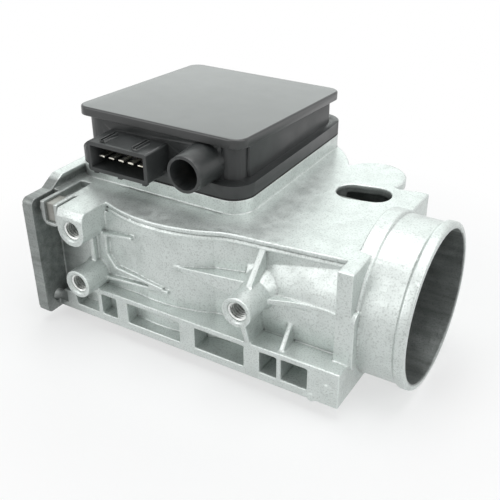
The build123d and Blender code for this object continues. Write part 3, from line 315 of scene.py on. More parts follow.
@dataclass(frozen=True)
class CastMetal:
    """Die-cast metal: pale and grainy, brighter on worn edges, with painted shade in its corners
    and recesses.

    Each pattern's numbers are the two values that it is spread between and the two results.
    """

    name: str
    colour: Colour
    dull_colour: Colour
    roughness: float = 0.40
    smoother: float = 0.09
    rougher: float = 0.1
    mottle_scale: float = 150.0
    mottle: Spread = (0.45, 0.75, 0.0, 0.28)
    speckle_scale: float = 1500.0
    speckle: Spread = (0.5, 0.68, 0.0, 0.6)
    edge_range: tuple[float, float] = (0.52, 0.58)
    edge_gain: float = 1.3
    corner_range: tuple[float, float] = (0.49, 0.435)
    corner_shade: float = 0.3
    recess_shade: float = 0.13
    streak_scale: float = 330.0
    streak_stretch: Point = (0.12, 1.0, 1.0)
    streaks: Spread = (0.3, 0.7, 1.0, 0.72)
    polish_scale: float = 240.0
    wave_scale: float = 110.0
    wave_depth: float = 0.25 * MM
    grain_scale: float = 1500.0
    grain_depth: float = 0.06 * MM
    shaded_recesses: tuple[PaintedShadeSpot, ...] = ()

    def make(self) -> bpy.types.Material:
        """Build the material.

        Returns:
            The material.
        """
        tree = ShaderTree(self.name)
        tree.set(Metallic=0.6, Roughness=self.roughness)
        mottle = tree.spread(tree.noise(self.mottle_scale, NoiseKind.GRAIN), *self.mottle)
        speckle = tree.spread(tree.noise(self.speckle_scale, NoiseKind.FINE), *self.speckle)
        base = tree.blend(mottle, self.colour, self.dull_colour)
        base = tree.blend(speckle, base, self.dull_colour)
        bright = tuple(min(1.0, c * self.edge_gain) for c in self.colour)
        base = tree.blend(tree.edges(*self.edge_range), base, bright)
        # Painted shade: concave corners are darkened as if shadowed.
        corner_shade_colour = tuple(c * self.corner_shade for c in self.dull_colour)
        base = tree.blend(tree.edges(*self.corner_range), base, corner_shade_colour)
        recess_shade_colour = tuple(c * self.recess_shade for c in self.dull_colour)
        drawn = tree.noise(self.streak_scale, NoiseKind.FINE, tree.stretched(self.streak_stretch))
        streaks = tree.spread(drawn, *self.streaks)
        # Painted shade in the recesses, broken up by the streak pattern.
        for spot in self.shaded_recesses:
            base = tree.blend(tree.times(spot.mask(tree), streaks), base, recess_shade_colour)
        tree.join(base, "Base Color")
        low, high = self.roughness - self.smoother, self.roughness + self.rougher
        polish = tree.noise(self.polish_scale, NoiseKind.GRAIN)
        tree.join(tree.spread(polish, *NOISE_SPAN, low, high), "Roughness")
        wave = tree.bump(tree.noise(self.wave_scale, NoiseKind.SOFT), self.wave_depth)
        grain = tree.bump(tree.noise(self.grain_scale, NoiseKind.GRAIN), self.grain_depth, wave)
        tree.join(grain, "Normal")
        return tree.material


@dataclass(frozen=True)
class CutThread:
    """A cut thread: painted highlight on the crests, painted shade in the roots, with dark oil
    patches.
    """

    name: str
    crest_highlight: Colour = (0.82, 0.84, 0.82)
    root_shade: Colour = (0.06, 0.065, 0.06)
    crest_range: tuple[float, float] = (0.49, 0.56)
    oil_scale: float = 700.0
    oil: Spread = (0.5, 0.75, 0.0, 0.5)
    chatter_scale: float = 3000.0
    chatter_depth: float = 0.01 * MM

    def make(self) -> bpy.types.Material:
        """Build the material.

        Returns:
            The material.
        """
        tree = ShaderTree(self.name)
        tree.set(Metallic=0.8, Roughness=0.35)
        # Painted highlight on the convex crests over the painted shade of the roots.
        crest_highlight = tree.blend(tree.edges(*self.crest_range), self.root_shade, self.crest_highlight)
        oily = tree.spread(tree.noise(self.oil_scale, NoiseKind.FINE), *self.oil)
        tree.join(tree.blend(oily, crest_highlight, self.root_shade), "Base Color")
        chatter = tree.noise(self.chatter_scale, NoiseKind.GRAIN)
        tree.join(tree.bump(chatter, self.chatter_depth), "Normal")
        return tree.material


@dataclass(frozen=True)
class MouldedPlastic:
    """Moulded plastic with a fine grain, rubbed smoother in places, dusty in patches and lighter on
    its edges as a painted highlight.
    """

    name: str
    colour: Colour
    roughness: float
    grain_scale: float = 2600.0
    grain_depth: float = 0.02 * MM
    dust: Spread = (0.4, 0.75, 0.0, 0.5)
    dust_scale: float = 60.0
    dust_gain: float = 1.6
    dust_film: float = 0.012
    edge_range: tuple[float, float] = (0.53, 0.62)
    edge_highlight: float = 0.5
    coat: float = 0.0
    rubbed: float = 0.07
    rubbed_scale: float = 110.0

    def make(self) -> bpy.types.Material:
        """Build the material.

        Returns:
            The material.
        """
        tree = ShaderTree(self.name)
        tree.set(Metallic=0.0, IOR=1.5, Coat_Weight=self.coat, Coat_Roughness=0.3)
        # One lighter colour serves for the dust patches and for the painted highlight on the edges.
        dust_and_sheen = tuple(c * self.dust_gain + self.dust_film for c in self.colour)
        patches = tree.spread(tree.noise(self.dust_scale, NoiseKind.GRAIN), *self.dust)
        base = tree.blend(patches, self.colour, dust_and_sheen)
        # Painted highlight: convex edges lightened towards the lighter colour.
        painted_edge_highlight = tree.times(tree.edges(*self.edge_range), self.edge_highlight)
        base = tree.blend(painted_edge_highlight, base, dust_and_sheen)
        tree.join(base, "Base Color")
        low, high = self.roughness - self.rubbed, self.roughness + self.rubbed
        rubbed = tree.noise(self.rubbed_scale, NoiseKind.GRAIN)
        tree.join(tree.spread(rubbed, *NOISE_SPAN, low, high), "Roughness")
        grain = tree.bump(tree.noise(self.grain_scale, NoiseKind.GRAIN), self.grain_depth)
        tree.join(grain, "Normal")
        return tree.material


@dataclass(frozen=True)
class WornMetal:
    """Plated, ground or blued metal, with faint draw marks along one axis."""

    name: str
    colour: Colour
    tarnish: Colour
    roughness: float = 0.3
    stretch: Point = (1.0, 1.0, 1.0)
    stain_scale: float = 160.0
    stain: Spread = (0.42, 0.7, 0.0, 0.8)
    mark_scale: float = 900.0
    mark_depth: float = 0.01 * MM
    smoother: float = 0.08
    rougher: float = 0.12

    def make(self) -> bpy.types.Material:
        """Build the material.

        Returns:
            The material.
        """
        tree = ShaderTree(self.name)
        tree.set(Metallic=1.0)
        stain = tree.spread(tree.noise(self.stain_scale, NoiseKind.GRAIN), *self.stain)
        tree.join(tree.blend(stain, self.colour, self.tarnish), "Base Color")
        marks = tree.noise(self.mark_scale, NoiseKind.GRAIN, tree.stretched(self.stretch))
        low, high = self.roughness - self.smoother, self.roughness + self.rougher
        tree.join(tree.spread(marks, *NOISE_SPAN, low, high), "Roughness")
        tree.join(tree.bump(marks, self.mark_depth), "Normal")
        return tree.material


@dataclass(frozen=True)
class SoftRubber:
    """Matt rubber with a powdery bloom."""

    name: str
    colour: Colour
    bloom: Colour
    bloom_scale: float = 300.0
    bloom_spread: Spread = (0.45, 0.75, 0.0, 0.7)
    skin_scale: float = 1800.0
    skin_depth: float = 0.03 * MM

    def make(self) -> bpy.types.Material:
        """Build the material.

        Returns:
            The material.
        """
        tree = ShaderTree(self.name)
        tree.set(Roughness=0.75, IOR=1.5)
        powder = tree.spread(tree.noise(self.bloom_scale, NoiseKind.FINE), *self.bloom_spread)
        tree.join(tree.blend(powder, self.colour, self.bloom), "Base Color")
        skin = tree.noise(self.skin_scale, NoiseKind.GRAIN)
        tree.join(tree.bump(skin, self.skin_depth), "Normal")
        return tree.material


@dataclass(frozen=True)
class PrintedCeramic:
    """Ceramic board with printed resistor tracks, drawn as rings about the spindle."""

    name: str
    colour: Colour
    ink: Colour
    centre: Point
    track_radii: tuple[float, float]
    ink_edge: float = 0.1 * MM
    ink_scale: float = 900.0
    ink_grain: Spread = (0.3, 0.7, 0.85, 1.0)
    glaze_scale: float = 2400.0
    glaze_depth: float = 0.008 * MM

    def make(self) -> bpy.types.Material:
        """Build the material.

        Returns:
            The material.
        """
        tree = ShaderTree(self.name)
        tree.set(Roughness=0.4, IOR=1.6)
        radius = tree.distance(self.centre, (1.0, 1.0, 0.0))
        inner, outer = self.track_radii
        ring = tree.times(
            tree.spread(radius, inner, inner + self.ink_edge, 0.0, 1.0),
            tree.spread(radius, outer, outer + self.ink_edge, 1.0, 0.0),
        )
        grain = tree.spread(tree.noise(self.ink_scale, NoiseKind.FINE), *self.ink_grain)
        tree.join(tree.blend(tree.times(ring, grain), self.colour, self.ink), "Base Color")
        glaze = tree.noise(self.glaze_scale, NoiseKind.GRAIN)
        tree.join(tree.bump(glaze, self.glaze_depth), "Normal")
        return tree.material


class Finishes:
    """Every finish of the part, made once and shared."""

    PIVOT = (0.058, 0.026, 0.0)

    def __init__(self) -> None:
        """Make the materials and the table from a node's slot to its material."""
        # Painted shade inside the spigot, the duct, the deck's window and the inlet behind the
        # flange.
        spigot = PaintedShadeSpot(
            centre=(0.0, 0.0, 0.0), keep=(0.0, 1.0, 1.0), inner=31.4 * MM, outer=32.2 * MM,
            axis="X", start=140.5 * MM, end=141 * MM, strength=0.4,
        )
        duct = PaintedShadeSpot(
            centre=(0.0, 0.0, 0.0), keep=(0.0, 1.0, 1.0), inner=31.4 * MM, outer=32.2 * MM,
            axis="X", start=80 * MM, end=120 * MM, strength=0.6, ceiling=22 * MM,
        )
        window = PaintedShadeSpot(
            centre=(120.8 * MM, 25.5 * MM, 0.0), keep=(1.0, 1.0, 0.0), inner=14.6 * MM,
            outer=15.6 * MM, axis="Z", start=27 * MM, end=25.5 * MM, strength=0.85,
        )
        flange = PaintedShadeSpot(
            centre=(0.0, 0.0, 0.0), keep=(0.0, 0.0, 1.0), inner=30 * MM, outer=31 * MM,
            axis="X", start=25 * MM, end=5.4 * MM, strength=0.75,
        )
        self.cast = CastMetal(
            "cast_aluminium", (0.655, 0.70, 0.68), (0.36, 0.39, 0.375),
            shaded_recesses=(spigot, duct, window, flange),
        ).make()
        self.thread = CutThread("cut_thread").make()
        self.flap = CastMetal("flap_aluminium", (0.60, 0.61, 0.59), (0.48, 0.49, 0.475)).make()
        self.housing = MouldedPlastic("black_plastic", (0.032, 0.035, 0.035), 0.36).make()
        self.lid = MouldedPlastic(
            "lid_plastic", (0.022, 0.024, 0.024), 0.34, grain_scale=1900.0,
            dust=(0.4, 0.75, 0.0, 0.12), coat=0.4, rubbed=0.015,
        ).make()
        self.natural = MouldedPlastic("natural_plastic", (0.52, 0.49, 0.40), 0.45).make()
        self.sensor = MouldedPlastic("sensor_plastic", (0.03, 0.03, 0.032), 0.5).make()
        self.gasket = SoftRubber("gasket_rubber", (0.012, 0.012, 0.012), (0.03, 0.03, 0.03)).make()
        self.stop = SoftRubber("stop_rubber", (0.02, 0.02, 0.02), (0.05, 0.05, 0.048)).make()
        self.zinc = WornMetal("zinc_steel", (0.30, 0.30, 0.28), (0.13, 0.125, 0.11), 0.38).make()
        self.cover = WornMetal(
            "cover_steel", (0.55, 0.56, 0.55), (0.42, 0.42, 0.40), 0.38, (1.0, 12.0, 1.0)
        ).make()
        self.ground = WornMetal(
            "ground_steel", (0.6, 0.6, 0.6), (0.5, 0.49, 0.47), 0.22, (1.0, 1.0, 14.0)
        ).make()
        self.spring = WornMetal("spring_steel", (0.22, 0.24, 0.28), (0.15, 0.15, 0.18), 0.3).make()
        self.bronze = WornMetal("bronze", (0.55, 0.36, 0.16), (0.36, 0.24, 0.13), 0.45).make()
        self.brass = WornMetal(
            "contact_brass", (0.80, 0.78, 0.70), (0.60, 0.56, 0.46), 0.28, (1.0, 10.0, 1.0)
        ).make()
        self.board = PrintedCeramic(
            "board_ceramic", (0.62, 0.58, 0.50), (0.025, 0.028, 0.03), self.PIVOT,
            (21.5 * MM, 28.5 * MM),
        ).make()
        self.by_slot = {
            "cast_aluminium": self.cast,
            "flap_aluminium": self.flap,
            "black_plastic": self.housing,
            "lid_plastic": self.lid,
            "natural_plastic": self.natural,
            "gasket_rubber": self.gasket,
            "stop_rubber": self.stop,
            "zinc_steel": self.zinc,
            "cover_steel": self.cover,
            "ground_steel": self.ground,
            "spring_steel": self.spring,
            "bronze": self.bronze,
            "contact_brass": self.brass,
            "sensor_plastic": self.sensor,
            "board_ceramic": self.board,
        }

    def dress_nodes(self) -> None:
        """Give every CAD node the material of its slot."""
        for part in frame["record"]["subparts"]:
            node = frame["nodes"][part["node"]]
            node.data.materials.clear()
            node.data.materials.append(self.by_slot[part["material_slot"]])
        log.info("dressed %d nodes", len(frame["nodes"]))


class Workshop:
    """Ways to turn a CAD node's mesh into a finer copy."""

    WELD = 1e-6
    BEVEL_FROM = math.radians(32)
    SHARP_FROM = math.radians(30)

    @staticmethod
    def link(name: str, mesh: bpy.types.Mesh) -> bpy.types.Object:
        """Add an object for a mesh to the scene.

        Args:
            name: The piece's name.
            mesh: The mesh.

        Returns:
            The object.
        """
        piece = bpy.data.objects.new(name, mesh)
        bpy.context.scene.collection.objects.link(piece)
        return piece

    @staticmethod
    def welded(node: str) -> bpy.types.Mesh:
        """Return a copy of a node's mesh with its faces joined.

        Args:
            node: The CAD node's name.

        Returns:
            The mesh.
        """
        mesh = frame["nodes"][node].data.copy()
        builder = bmesh.new()
        builder.from_mesh(mesh)
        bmesh.ops.remove_doubles(builder, verts=builder.verts, dist=Workshop.WELD)
        builder.to_mesh(mesh)
        builder.free()
        return mesh

    @staticmethod
    def piece_from(name: str, builder: bmesh.types.BMesh) -> bpy.types.Object:
        """Turn a finished builder into a piece, and free the builder.

        Args:
            name: The piece's name.
            builder: The mesh builder.

        Returns:
            The piece.
        """
        mesh = bpy.data.meshes.new(name)
        builder.to_mesh(mesh)
        builder.free()
        return Workshop.link(name, mesh)

    @staticmethod
    def closed_tube(
        builder: bmesh.types.BMesh, loops: Sequence[Sequence[bmesh.types.BMVert]]
    ) -> None:
        """Join loops of vertices into a tube with closed ends.

        Args:
            builder: The mesh that holds the vertices.
            loops: The loops in order, each with as many vertices as the others.
        """
        for near, far in zip(loops, loops[1:]):
            for i in range(len(near)):
                j = (i + 1) % len(near)
                builder.faces.new((near[i], near[j], far[j], far[i]))
        builder.faces.new(loops[0])
        builder.faces.new(loops[-1])

    @staticmethod
    def settle(piece: bpy.types.Object) -> None:
        """Apply a piece's modifiers.

        Args:
            piece: The piece.
        """
        graph = bpy.context.evaluated_depsgraph_get()
        mesh = bpy.data.meshes.new_from_object(piece.evaluated_get(graph))
        piece.modifiers.clear()
        piece.data = mesh

    @staticmethod
    def dress(
        piece: bpy.types.Object,
        material: bpy.types.Material,
        slot: str,
        body: Body,
        node: str | None = None,
    ) -> None:
        """Give a piece its finish, its body and the node that it stands for.

        Args:
            piece: The piece.
            material: Its material.
            slot: The record's slot that its finish comes from; not used.
            body: The body that it rides on.
            node: The CAD node that it replaces, or None.
        """
        piece.data.materials.clear()
        piece.data.materials.append(material)
        if node:
            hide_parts(node)
        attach(piece, body.value)
        log.info("%s: %d faces", piece.name, len(piece.data.polygons))

    @staticmethod
    def island_centres(builder: bmesh.types.BMesh) -> list[tuple[float, float]]:
        """Return the plan centre of each loose part of a mesh, in millimetres.

        Args:
            builder: The mesh.

        Returns:
            The centres along X and Y.
        """
        left = set(builder.verts)
        centres = []
        while left:
            stack = [left.pop()]
            island = list(stack)
            while stack:
                for edge in stack.pop().link_edges:
                    for vert in edge.verts:
                        if vert in left:
                            left.remove(vert)
                            stack.append(vert)
                            island.append(vert)
            xs = [v.co.x for v in island]
            ys = [v.co.y for v in island]
            centres.append(((min(xs) + max(xs)) / 2 / MM, (min(ys) + max(ys)) / 2 / MM))
        return sorted(centres)

    @classmethod
    def cast_copy(
        cls,
        name: str,
        node: str,
        voxel: float,
        rounds: int,
        triangles: int,
        marks: tuple[RaisedMark | PocketWall, ...],
    ) -> bpy.types.Object:
        """Copy a node with the round edges and fillets of a casting.

        Args:
            name: The piece's name.
            node: The CAD node's name.
            voxel: The size of the cells that the edges are rounded with.
            rounds: How often the surface is smoothed.
            triangles: The most triangles that the copy keeps.
            marks: Closed forms that the copy grows together with.

        Returns:
            The copy.
        """
        piece = cls.link(name, cls.welded(node))
        builder = bmesh.new()
        builder.from_mesh(piece.data)
        for mark in marks:
            mark.add_to(builder)
        builder.to_mesh(piece.data)
        builder.free()
        remesh = piece.modifiers.new("cells", "REMESH")
        remesh.mode = "VOXEL"
        remesh.voxel_size = voxel
        cls.settle(piece)
        smooth = piece.modifiers.new("round", "SMOOTH")
        smooth.factor = 0.5
        smooth.iterations = rounds
        share = triangles / (2 * len(piece.data.polygons))
        if share < 1:
            fewer = piece.modifiers.new("fewer", "DECIMATE")
            fewer.ratio = share
        cls.settle(piece)
        piece.data.shade_smooth()
        return piece

    @classmethod
    def bevelled_copy(cls, name: str, node: str, width: float, flat: float) -> bpy.types.Object:
        """Copy a node with bevelled edges.

        Args:
            name: The piece's name.
            node: The CAD node's name.
            width: The bevel's width.
            flat: The angle in radians below which faces count as one.

        Returns:
            The copy.
        """
        piece = cls.link(name, cls.welded(node))
        planar = piece.modifiers.new("planar", "DECIMATE")
        planar.decimate_type = "DISSOLVE"
        planar.angle_limit = flat
        bevel = piece.modifiers.new("bevel", "BEVEL")
        bevel.width = width
        bevel.segments = 2
        bevel.limit_method = "ANGLE"
        bevel.angle_limit = cls.BEVEL_FROM
        bevel.harden_normals = True
        cls.settle(piece)
        piece.data.shade_smooth()
        piece.data.set_sharp_from_angle(angle=cls.SHARP_FROM)
        return piece


@dataclass(frozen=True)
class RaisedMark:
    """A flat round mark or pad that stands a little proud of a cast face."""

    centre: Point
    normal: Point
    radius: float
    height: float
    sunk: float = 1.0 * MM
    segments: int = 48

    def add_to(self, builder: bmesh.types.BMesh) -> None:
        """Add the mark as a closed disc, sunk into the face that carries it.

        Args:
            builder: The casting's mesh.
        """
        turn = Vector(self.normal).to_track_quat("Z", "Y").to_matrix().to_4x4()
        middle = Vector(self.centre) + Vector(self.normal) * (self.height - self.sunk) / 2
        bmesh.ops.create_cone(
            builder, cap_ends=True, cap_tris=False, segments=self.segments,
            radius1=self.radius, radius2=self.radius, depth=self.height + self.sunk,
            matrix=Matrix.Translation(middle) @ turn,
        )


@dataclass(frozen=True)
class PocketWall:
    """The curved wall of the pocket under the deck's oval window, in millimetres and degrees."""

    centre: tuple[float, float] = (120.8, 25.5)
    radius: float = 16.0
    thickness: float = 2.0
    bottom: float = -25.5
    top: float = 24.5
    start: float = -8.0
    end: float = 200.0
    steps: int = 40

    def add_to(self, builder: bmesh.types.BMesh) -> None:
        """Add the wall as a closed curved slab.

        Args:
            builder: The casting's mesh.
        """
        x, y = self.centre
        inner, outer = self.radius - self.thickness, self.radius
        section = (
            (inner, self.bottom), (outer, self.bottom), (outer, self.top), (inner, self.top)
        )
        rings = []
        for i in range(self.steps + 1):
            angle = math.radians(self.start + (self.end - self.start) * i / self.steps)
            rings.append([
                builder.verts.new(
                    Vector((x + radius * math.cos(angle), y + radius * math.sin(angle), level))
                    * MM
                )
                for radius, level in section
            ])
        for near, far in zip(rings, rings[1:]):
            for j, k in zip(range(4), (1, 2, 3, 0)):
                builder.faces.new((near[j], far[j], far[k], near[k]))
        builder.faces.new(rings[0])
        builder.faces.new(list(reversed(rings[-1])))


@dataclass
class CastBody:
    """The main casting, rounded as cast."""

    finishes: Finishes
    voxel: float = 0.34 * MM
    rounds: int = 3
    triangles: int = 190000
    marks: tuple[RaisedMark | PocketWall, ...] = (
        PocketWall(),
        RaisedMark(
            centre=(0.1400, -0.0433, -0.0207), normal=(0.0, -1.0, 0.0),
            radius=2.3 * MM, height=0.5 * MM,
        ),
        RaisedMark(
            centre=(0.1335, -0.0433, -0.0270), normal=(0.0, -1.0, 0.0),
            radius=1.7 * MM, height=0.45 * MM,
        ),
    )

    def build(self) -> None:
        """Build the casting's piece and dress it."""
        piece = Workshop.cast_copy(
            "cast_body", "main_casting", self.voxel, self.rounds, self.triangles, self.marks
        )
        Workshop.dress(piece, self.finishes.cast, "cast_aluminium", Body.HOUSING, "main_casting")


@dataclass
class BossThreads:
    """The screw threads in the three bosses, in millimetres."""

    finishes: Finishes
    places: tuple[tuple[float, float], ...] = ((25.8, 18.5), (25.8, -6.8), (105.2, 6.6))
    mouth_y: float = -50.1
    depth: float = 12.4
    root_radius: float = 4.2
    crest_radius: float = 3.3
    pitch: float = 1.25
    root_half: float = 0.46
    crest_half: float = 0.14
    run_out: float = 0.4
    least_ridge: float = 0.05
    steps: int = 40

    def _turns(self, builder: bmesh.types.BMesh, x: float, z: float) -> None:
        """Add one thread as a ridge that winds into its hole.

        Args:
            builder: The mesh that gets the ridge.
            x: The hole's place along X.
            z: The hole's height.
        """
        profile = (
            (self.root_radius, -self.root_half), (self.crest_radius, -self.crest_half),
            (self.crest_radius, self.crest_half), (self.root_radius, self.root_half),
        )
        count = int(self.depth / self.pitch * self.steps)
        fading = self.run_out * self.steps
        rings = []
        for i in range(count + 1):
            angle = 2 * math.pi * i / self.steps
            fade = max(self.least_ridge, min(1.0, i / fading, (count - i) / fading))
            ring = []
            for radius, shift in profile:
                reach = self.root_radius - (self.root_radius - radius) * fade
                y = self.mouth_y + (i / self.steps + shift) * self.pitch
                ring.append(builder.verts.new(Vector(
                    (x + reach * math.cos(angle), y, z + reach * math.sin(angle))
                ) * MM))
            rings.append(ring)
        Workshop.closed_tube(builder, rings)

    def build(self) -> None:
        """Build the threads and dress them."""
        builder = bmesh.new()
        for x, z in self.places:
            self._turns(builder, x, z)
        bmesh.ops.recalc_face_normals(builder, faces=builder.faces)
        piece = Workshop.piece_from("boss_threads", builder)
        Workshop.dress(piece, self.finishes.thread, "cast_aluminium", Body.HOUSING)


@dataclass
class ControlHousing:
    """The black housing with its socket and tube, its lid and the blades."""

    finishes: Finishes
    edge: float = 0.35 * MM
    flat: float = 0.0005
    lid_edge: float = 0.25 * MM
    lid_flat: float = 0.002
    blade_edge: float = 0.22 * MM
    blade_flat: float = 0.02

    def build(self) -> None:
        """Build the housing, the lid and the terminal blades."""
        shell = Workshop.bevelled_copy("housing_shell", "control_housing", self.edge, self.flat)
        Workshop.dress(
            shell, self.finishes.housing, "black_plastic", Body.HOUSING, "control_housing"
        )
        lid = Workshop.bevelled_copy("housing_lid", "lid", self.lid_edge, self.lid_flat)
        Workshop.dress(lid, self.finishes.lid, "lid_plastic", Body.HOUSING, "lid")
        blades = Workshop.bevelled_copy(
            "blade_tips", "terminal_blades", self.blade_edge, self.blade_flat
        )
        Workshop.dress(
            blades, self.finishes.brass, "contact_brass", Body.HOUSING, "terminal_blades"
        )


@dataclass
class CoverScrews:
    """The bottom cover's pan head screws, with cross recesses, in millimetres."""

    finishes: Finishes
    rings: int = 10
    sectors: int = 48
    head_radius: float = 2.7
    head_height: float = 1.8
    head_dome: float = 0.28
    dome_power: int = 4
    seat: float = -28.0
    shank_radius: float = 1.4
    shank_top: float = -24.6
    slot_half: float = 0.36
    slot_reach: float = 1.55
    slot_depth: float = 1.1
    turn_between: float = 0.9

    def _height(self, radius: float, angle: float) -> float:
        """Return how far the head's face stands below its seat.

        Args:
            radius: The distance from the screw's axis.
            angle: The angle about it.

        Returns:
            The height in millimetres.
        """
        share = radius / self.head_radius
        height = self.head_height * (1 - self.head_dome * share**self.dome_power)
        across = min(abs(radius * math.cos(angle)), abs(radius * math.sin(angle)))
        if across < self.slot_half and radius < self.slot_reach:
            height -= self.slot_depth
        return height

    def _screw(self, builder: bmesh.types.BMesh, x: float, y: float, turn: float) -> None:
        """Add one screw.

        Args:
            builder: The mesh that gets the screw.
            x: The screw's place along X.
            y: The screw's place along Y.
            turn: How far its recess is turned.
        """
        def point(radius: float, angle: float, z: float) -> bmesh.types.BMVert:
            """Return a new vertex at a radius, an angle and a level."""
            place = Vector((x + radius * math.cos(angle), y + radius * math.sin(angle), z))
            return builder.verts.new(place * MM)

        angles = [2 * math.pi * i / self.sectors for i in range(self.sectors)]
        levels = [(self.shank_radius, self.shank_top), (self.shank_radius, self.seat)]
        loops = [[point(radius, a, z) for a in angles] for radius, z in levels]
        loops.append([point(self.head_radius, a, self.seat) for a in angles])
        for i in range(self.rings, 0, -1):
            radius = self.head_radius * i / self.rings
            loops.append([
                point(radius, a, self.seat - self._height(radius, a - turn)) for a in angles
            ])
        Workshop.closed_tube(builder, loops)

    def build(self) -> None:
        """Build the screws where the CAD has them."""
        loose = bmesh.new()
        loose.from_mesh(Workshop.welded("bottom_cover_screws"))
        places = Workshop.island_centres(loose)
        loose.free()
        builder = bmesh.new()
        for i, (x, y) in enumerate(places):
            self._screw(builder, x, y, self.turn_between * i)
        bmesh.ops.recalc_face_normals(builder, faces=builder.faces)
        piece = Workshop.piece_from("cover_screws", builder)
        Workshop.dress(
            piece, self.finishes.zinc, "zinc_steel", Body.HOUSING, "bottom_cover_screws"
        )


@dataclass(frozen=True)
class SoftBox:
    """A square lamp that faces the part."""

    name: str
    place: Point
    power: float
    colour: Colour = WHITE
    size: float = 0.9

    def hang(self, aim: Point) -> None:
        """Hang the lamp.

        Args:
            aim: The point that it faces.
        """
        light = bpy.data.lights.new(self.name, "AREA")
        light.shape = "SQUARE"
        light.size = self.size
        light.energy = self.power
        light.color = self.colour
        lamp = bpy.data.objects.new(self.name, light)
        bpy.context.scene.collection.objects.link(lamp)
        lamp.location = self.place
        toward = Vector(aim) - Vector(self.place)
        lamp.rotation_euler = toward.to_track_quat("-Z", "Y").to_euler()


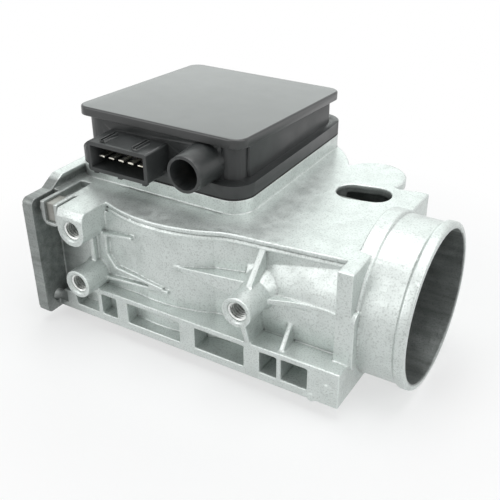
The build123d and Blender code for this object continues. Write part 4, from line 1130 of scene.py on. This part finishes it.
@dataclass
class Studio:
    """Floor, white backdrop, soft light and the camera of the photograph."""

    middle: Point = (0.08, 0.0, 0.0)
    boxes: tuple[SoftBox, ...] = (
        SoftBox("rear_box", (-0.52, 0.95, 0.56), 2.5, (0.9, 1.0, 0.96)),
        SoftBox("top_box", (0.1, 0.1, 1.2), 8.6),
        SoftBox("left_box", (-0.55, -0.95, 0.6), 4.7),
        SoftBox("right_box", (1.0, 0.0, 0.6), 3.9),
    )
    ambient_colour: Colour = (0.95, 0.98, 1.0)
    ambient_light: float = 0.13
    floor_level: float = -34.15 * MM
    floor_half: float = 6.0
    floor_colour: Colour = (0.93, 0.94, 0.94)
    floor_fade: Spread = (0.09, 0.19, 0.6, 1.0)
    focal_pixels: float = 778.929
    frame_pixels: float = 500.0
    sensor: float = 36.0
    azimuth: float = 31.5835
    elevation: float = 30.1896
    roll: float = 0.5331
    eye: Point = (0.2337, -0.2495, 0.1710)

    @staticmethod
    def _seen_rays(graph: bpy.types.NodeTree) -> bpy.types.NodeSocket:
        """Return 1 for the rays that show the backdrop: straight, mirrored or through glass.

        Args:
            graph: The shader graph that gets the nodes.

        Returns:
            The value.
        """
        path = graph.nodes.new("ShaderNodeLightPath")
        value = path.outputs["Is Camera Ray"]
        for name in ("Is Transmission Ray", "Is Glossy Ray"):
            larger = graph.nodes.new("ShaderNodeMath")
            larger.operation = "MAXIMUM"
            graph.links.new(value, larger.inputs[0])
            graph.links.new(path.outputs[name], larger.inputs[1])
            value = larger.outputs["Value"]
        return value

    def floor(self) -> None:
        """Lay the pale floor."""
        builder = bmesh.new()
        bmesh.ops.create_grid(builder, x_segments=1, y_segments=1, size=self.floor_half)
        floor = Workshop.piece_from("floor", builder)
        floor.location = (self.middle[0], self.middle[1], self.floor_level)
        tree = ShaderTree("floor_white")
        tree.set(Roughness=0.8, Base_Color=(*self.floor_colour, 1.0), Specular_IOR_Level=0.2)
        floor.data.materials.append(tree.material)
        self._fade_to_white(tree)

    def _fade_to_white(self, tree: ShaderTree) -> None:
        """Let the floor fade to plain white, away from the part.

        Args:
            tree: The floor's shader.
        """
        length = tree.nodes.new("ShaderNodeVectorMath")
        length.operation = "LENGTH"
        tree.links.new(tree.place, length.inputs[0])
        far = tree.spread(length.outputs["Value"], *self.floor_fade)
        rays = self._seen_rays(tree.material.node_tree)
        white = tree.nodes.new("ShaderNodeEmission")
        white.inputs["Strength"].default_value = 1.0
        mix = tree.nodes.new("ShaderNodeMixShader")
        tree.links.new(tree.times(far, rays), mix.inputs["Fac"])
        tree.links.new(tree.surface.outputs["BSDF"], mix.inputs[1])
        tree.links.new(white.outputs["Emission"], mix.inputs[2])
        output = [n for n in tree.nodes if n.type == "OUTPUT_MATERIAL"][0]
        tree.links.new(mix.outputs["Shader"], output.inputs["Surface"])

    def world(self) -> None:
        """Light the scene evenly and show white behind the part."""
        world = bpy.data.worlds.new("studio")
        bpy.context.scene.world = world
        world.use_nodes = True
        nodes, links = world.node_tree.nodes, world.node_tree.links
        nodes.clear()
        seen = self._seen_rays(world.node_tree)
        light = nodes.new("ShaderNodeBackground")
        light.inputs["Color"].default_value = (*self.ambient_colour, 1.0)
        light.inputs["Strength"].default_value = self.ambient_light
        white = nodes.new("ShaderNodeBackground")
        white.inputs["Color"].default_value = (*WHITE, 1.0)
        white.inputs["Strength"].default_value = 1.0
        mix = nodes.new("ShaderNodeMixShader")
        links.new(seen, mix.inputs["Fac"])
        links.new(light.outputs["Background"], mix.inputs[1])
        links.new(white.outputs["Background"], mix.inputs[2])
        output = nodes.new("ShaderNodeOutputWorld")
        links.new(mix.outputs["Shader"], output.inputs["Surface"])

    def lights(self) -> None:
        """Hang the soft boxes."""
        for box in self.boxes:
            box.hang(self.middle)

    def camera(self) -> None:
        """Place the camera at the photograph's point of view."""
        turn, tilt, roll = (math.radians(a) for a in (self.azimuth, self.elevation, self.roll))
        ahead = Vector((
            -math.sin(turn) * math.cos(tilt), math.cos(turn) * math.cos(tilt), -math.sin(tilt)
        ))
        level = Vector((math.cos(turn), math.sin(turn), 0.0))
        down = ahead.cross(level)
        right = math.cos(roll) * level + math.sin(roll) * down
        up = math.sin(roll) * level - math.cos(roll) * down
        lens = bpy.data.cameras.new("camera")
        lens.sensor_width = self.sensor
        lens.lens = self.focal_pixels * self.sensor / self.frame_pixels
        lens.clip_start = 0.01
        camera = bpy.data.objects.new("camera", lens)
        bpy.context.scene.collection.objects.link(camera)
        axes = Matrix((right, up, -ahead)).transposed()
        camera.matrix_world = Matrix.Translation(self.eye) @ axes.to_4x4()
        bpy.context.scene.camera = camera

    def build(self) -> None:
        """Build the whole studio."""
        bpy.context.scene.view_settings.view_transform = "Standard"
        self.floor()
        self.world()
        self.lights()
        self.camera()
        log.info("studio ready")


def main() -> None:
    """Build every sub-assembly in order."""
    logging.basicConfig(level=logging.INFO, format="%(name)s: %(message)s")
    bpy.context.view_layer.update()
    finishes = Finishes()
    finishes.dress_nodes()
    CastBody(finishes).build()
    BossThreads(finishes).build()
    ControlHousing(finishes).build()
    CoverScrews(finishes).build()
    Studio().build()


if __name__ == "__main__":
    main()
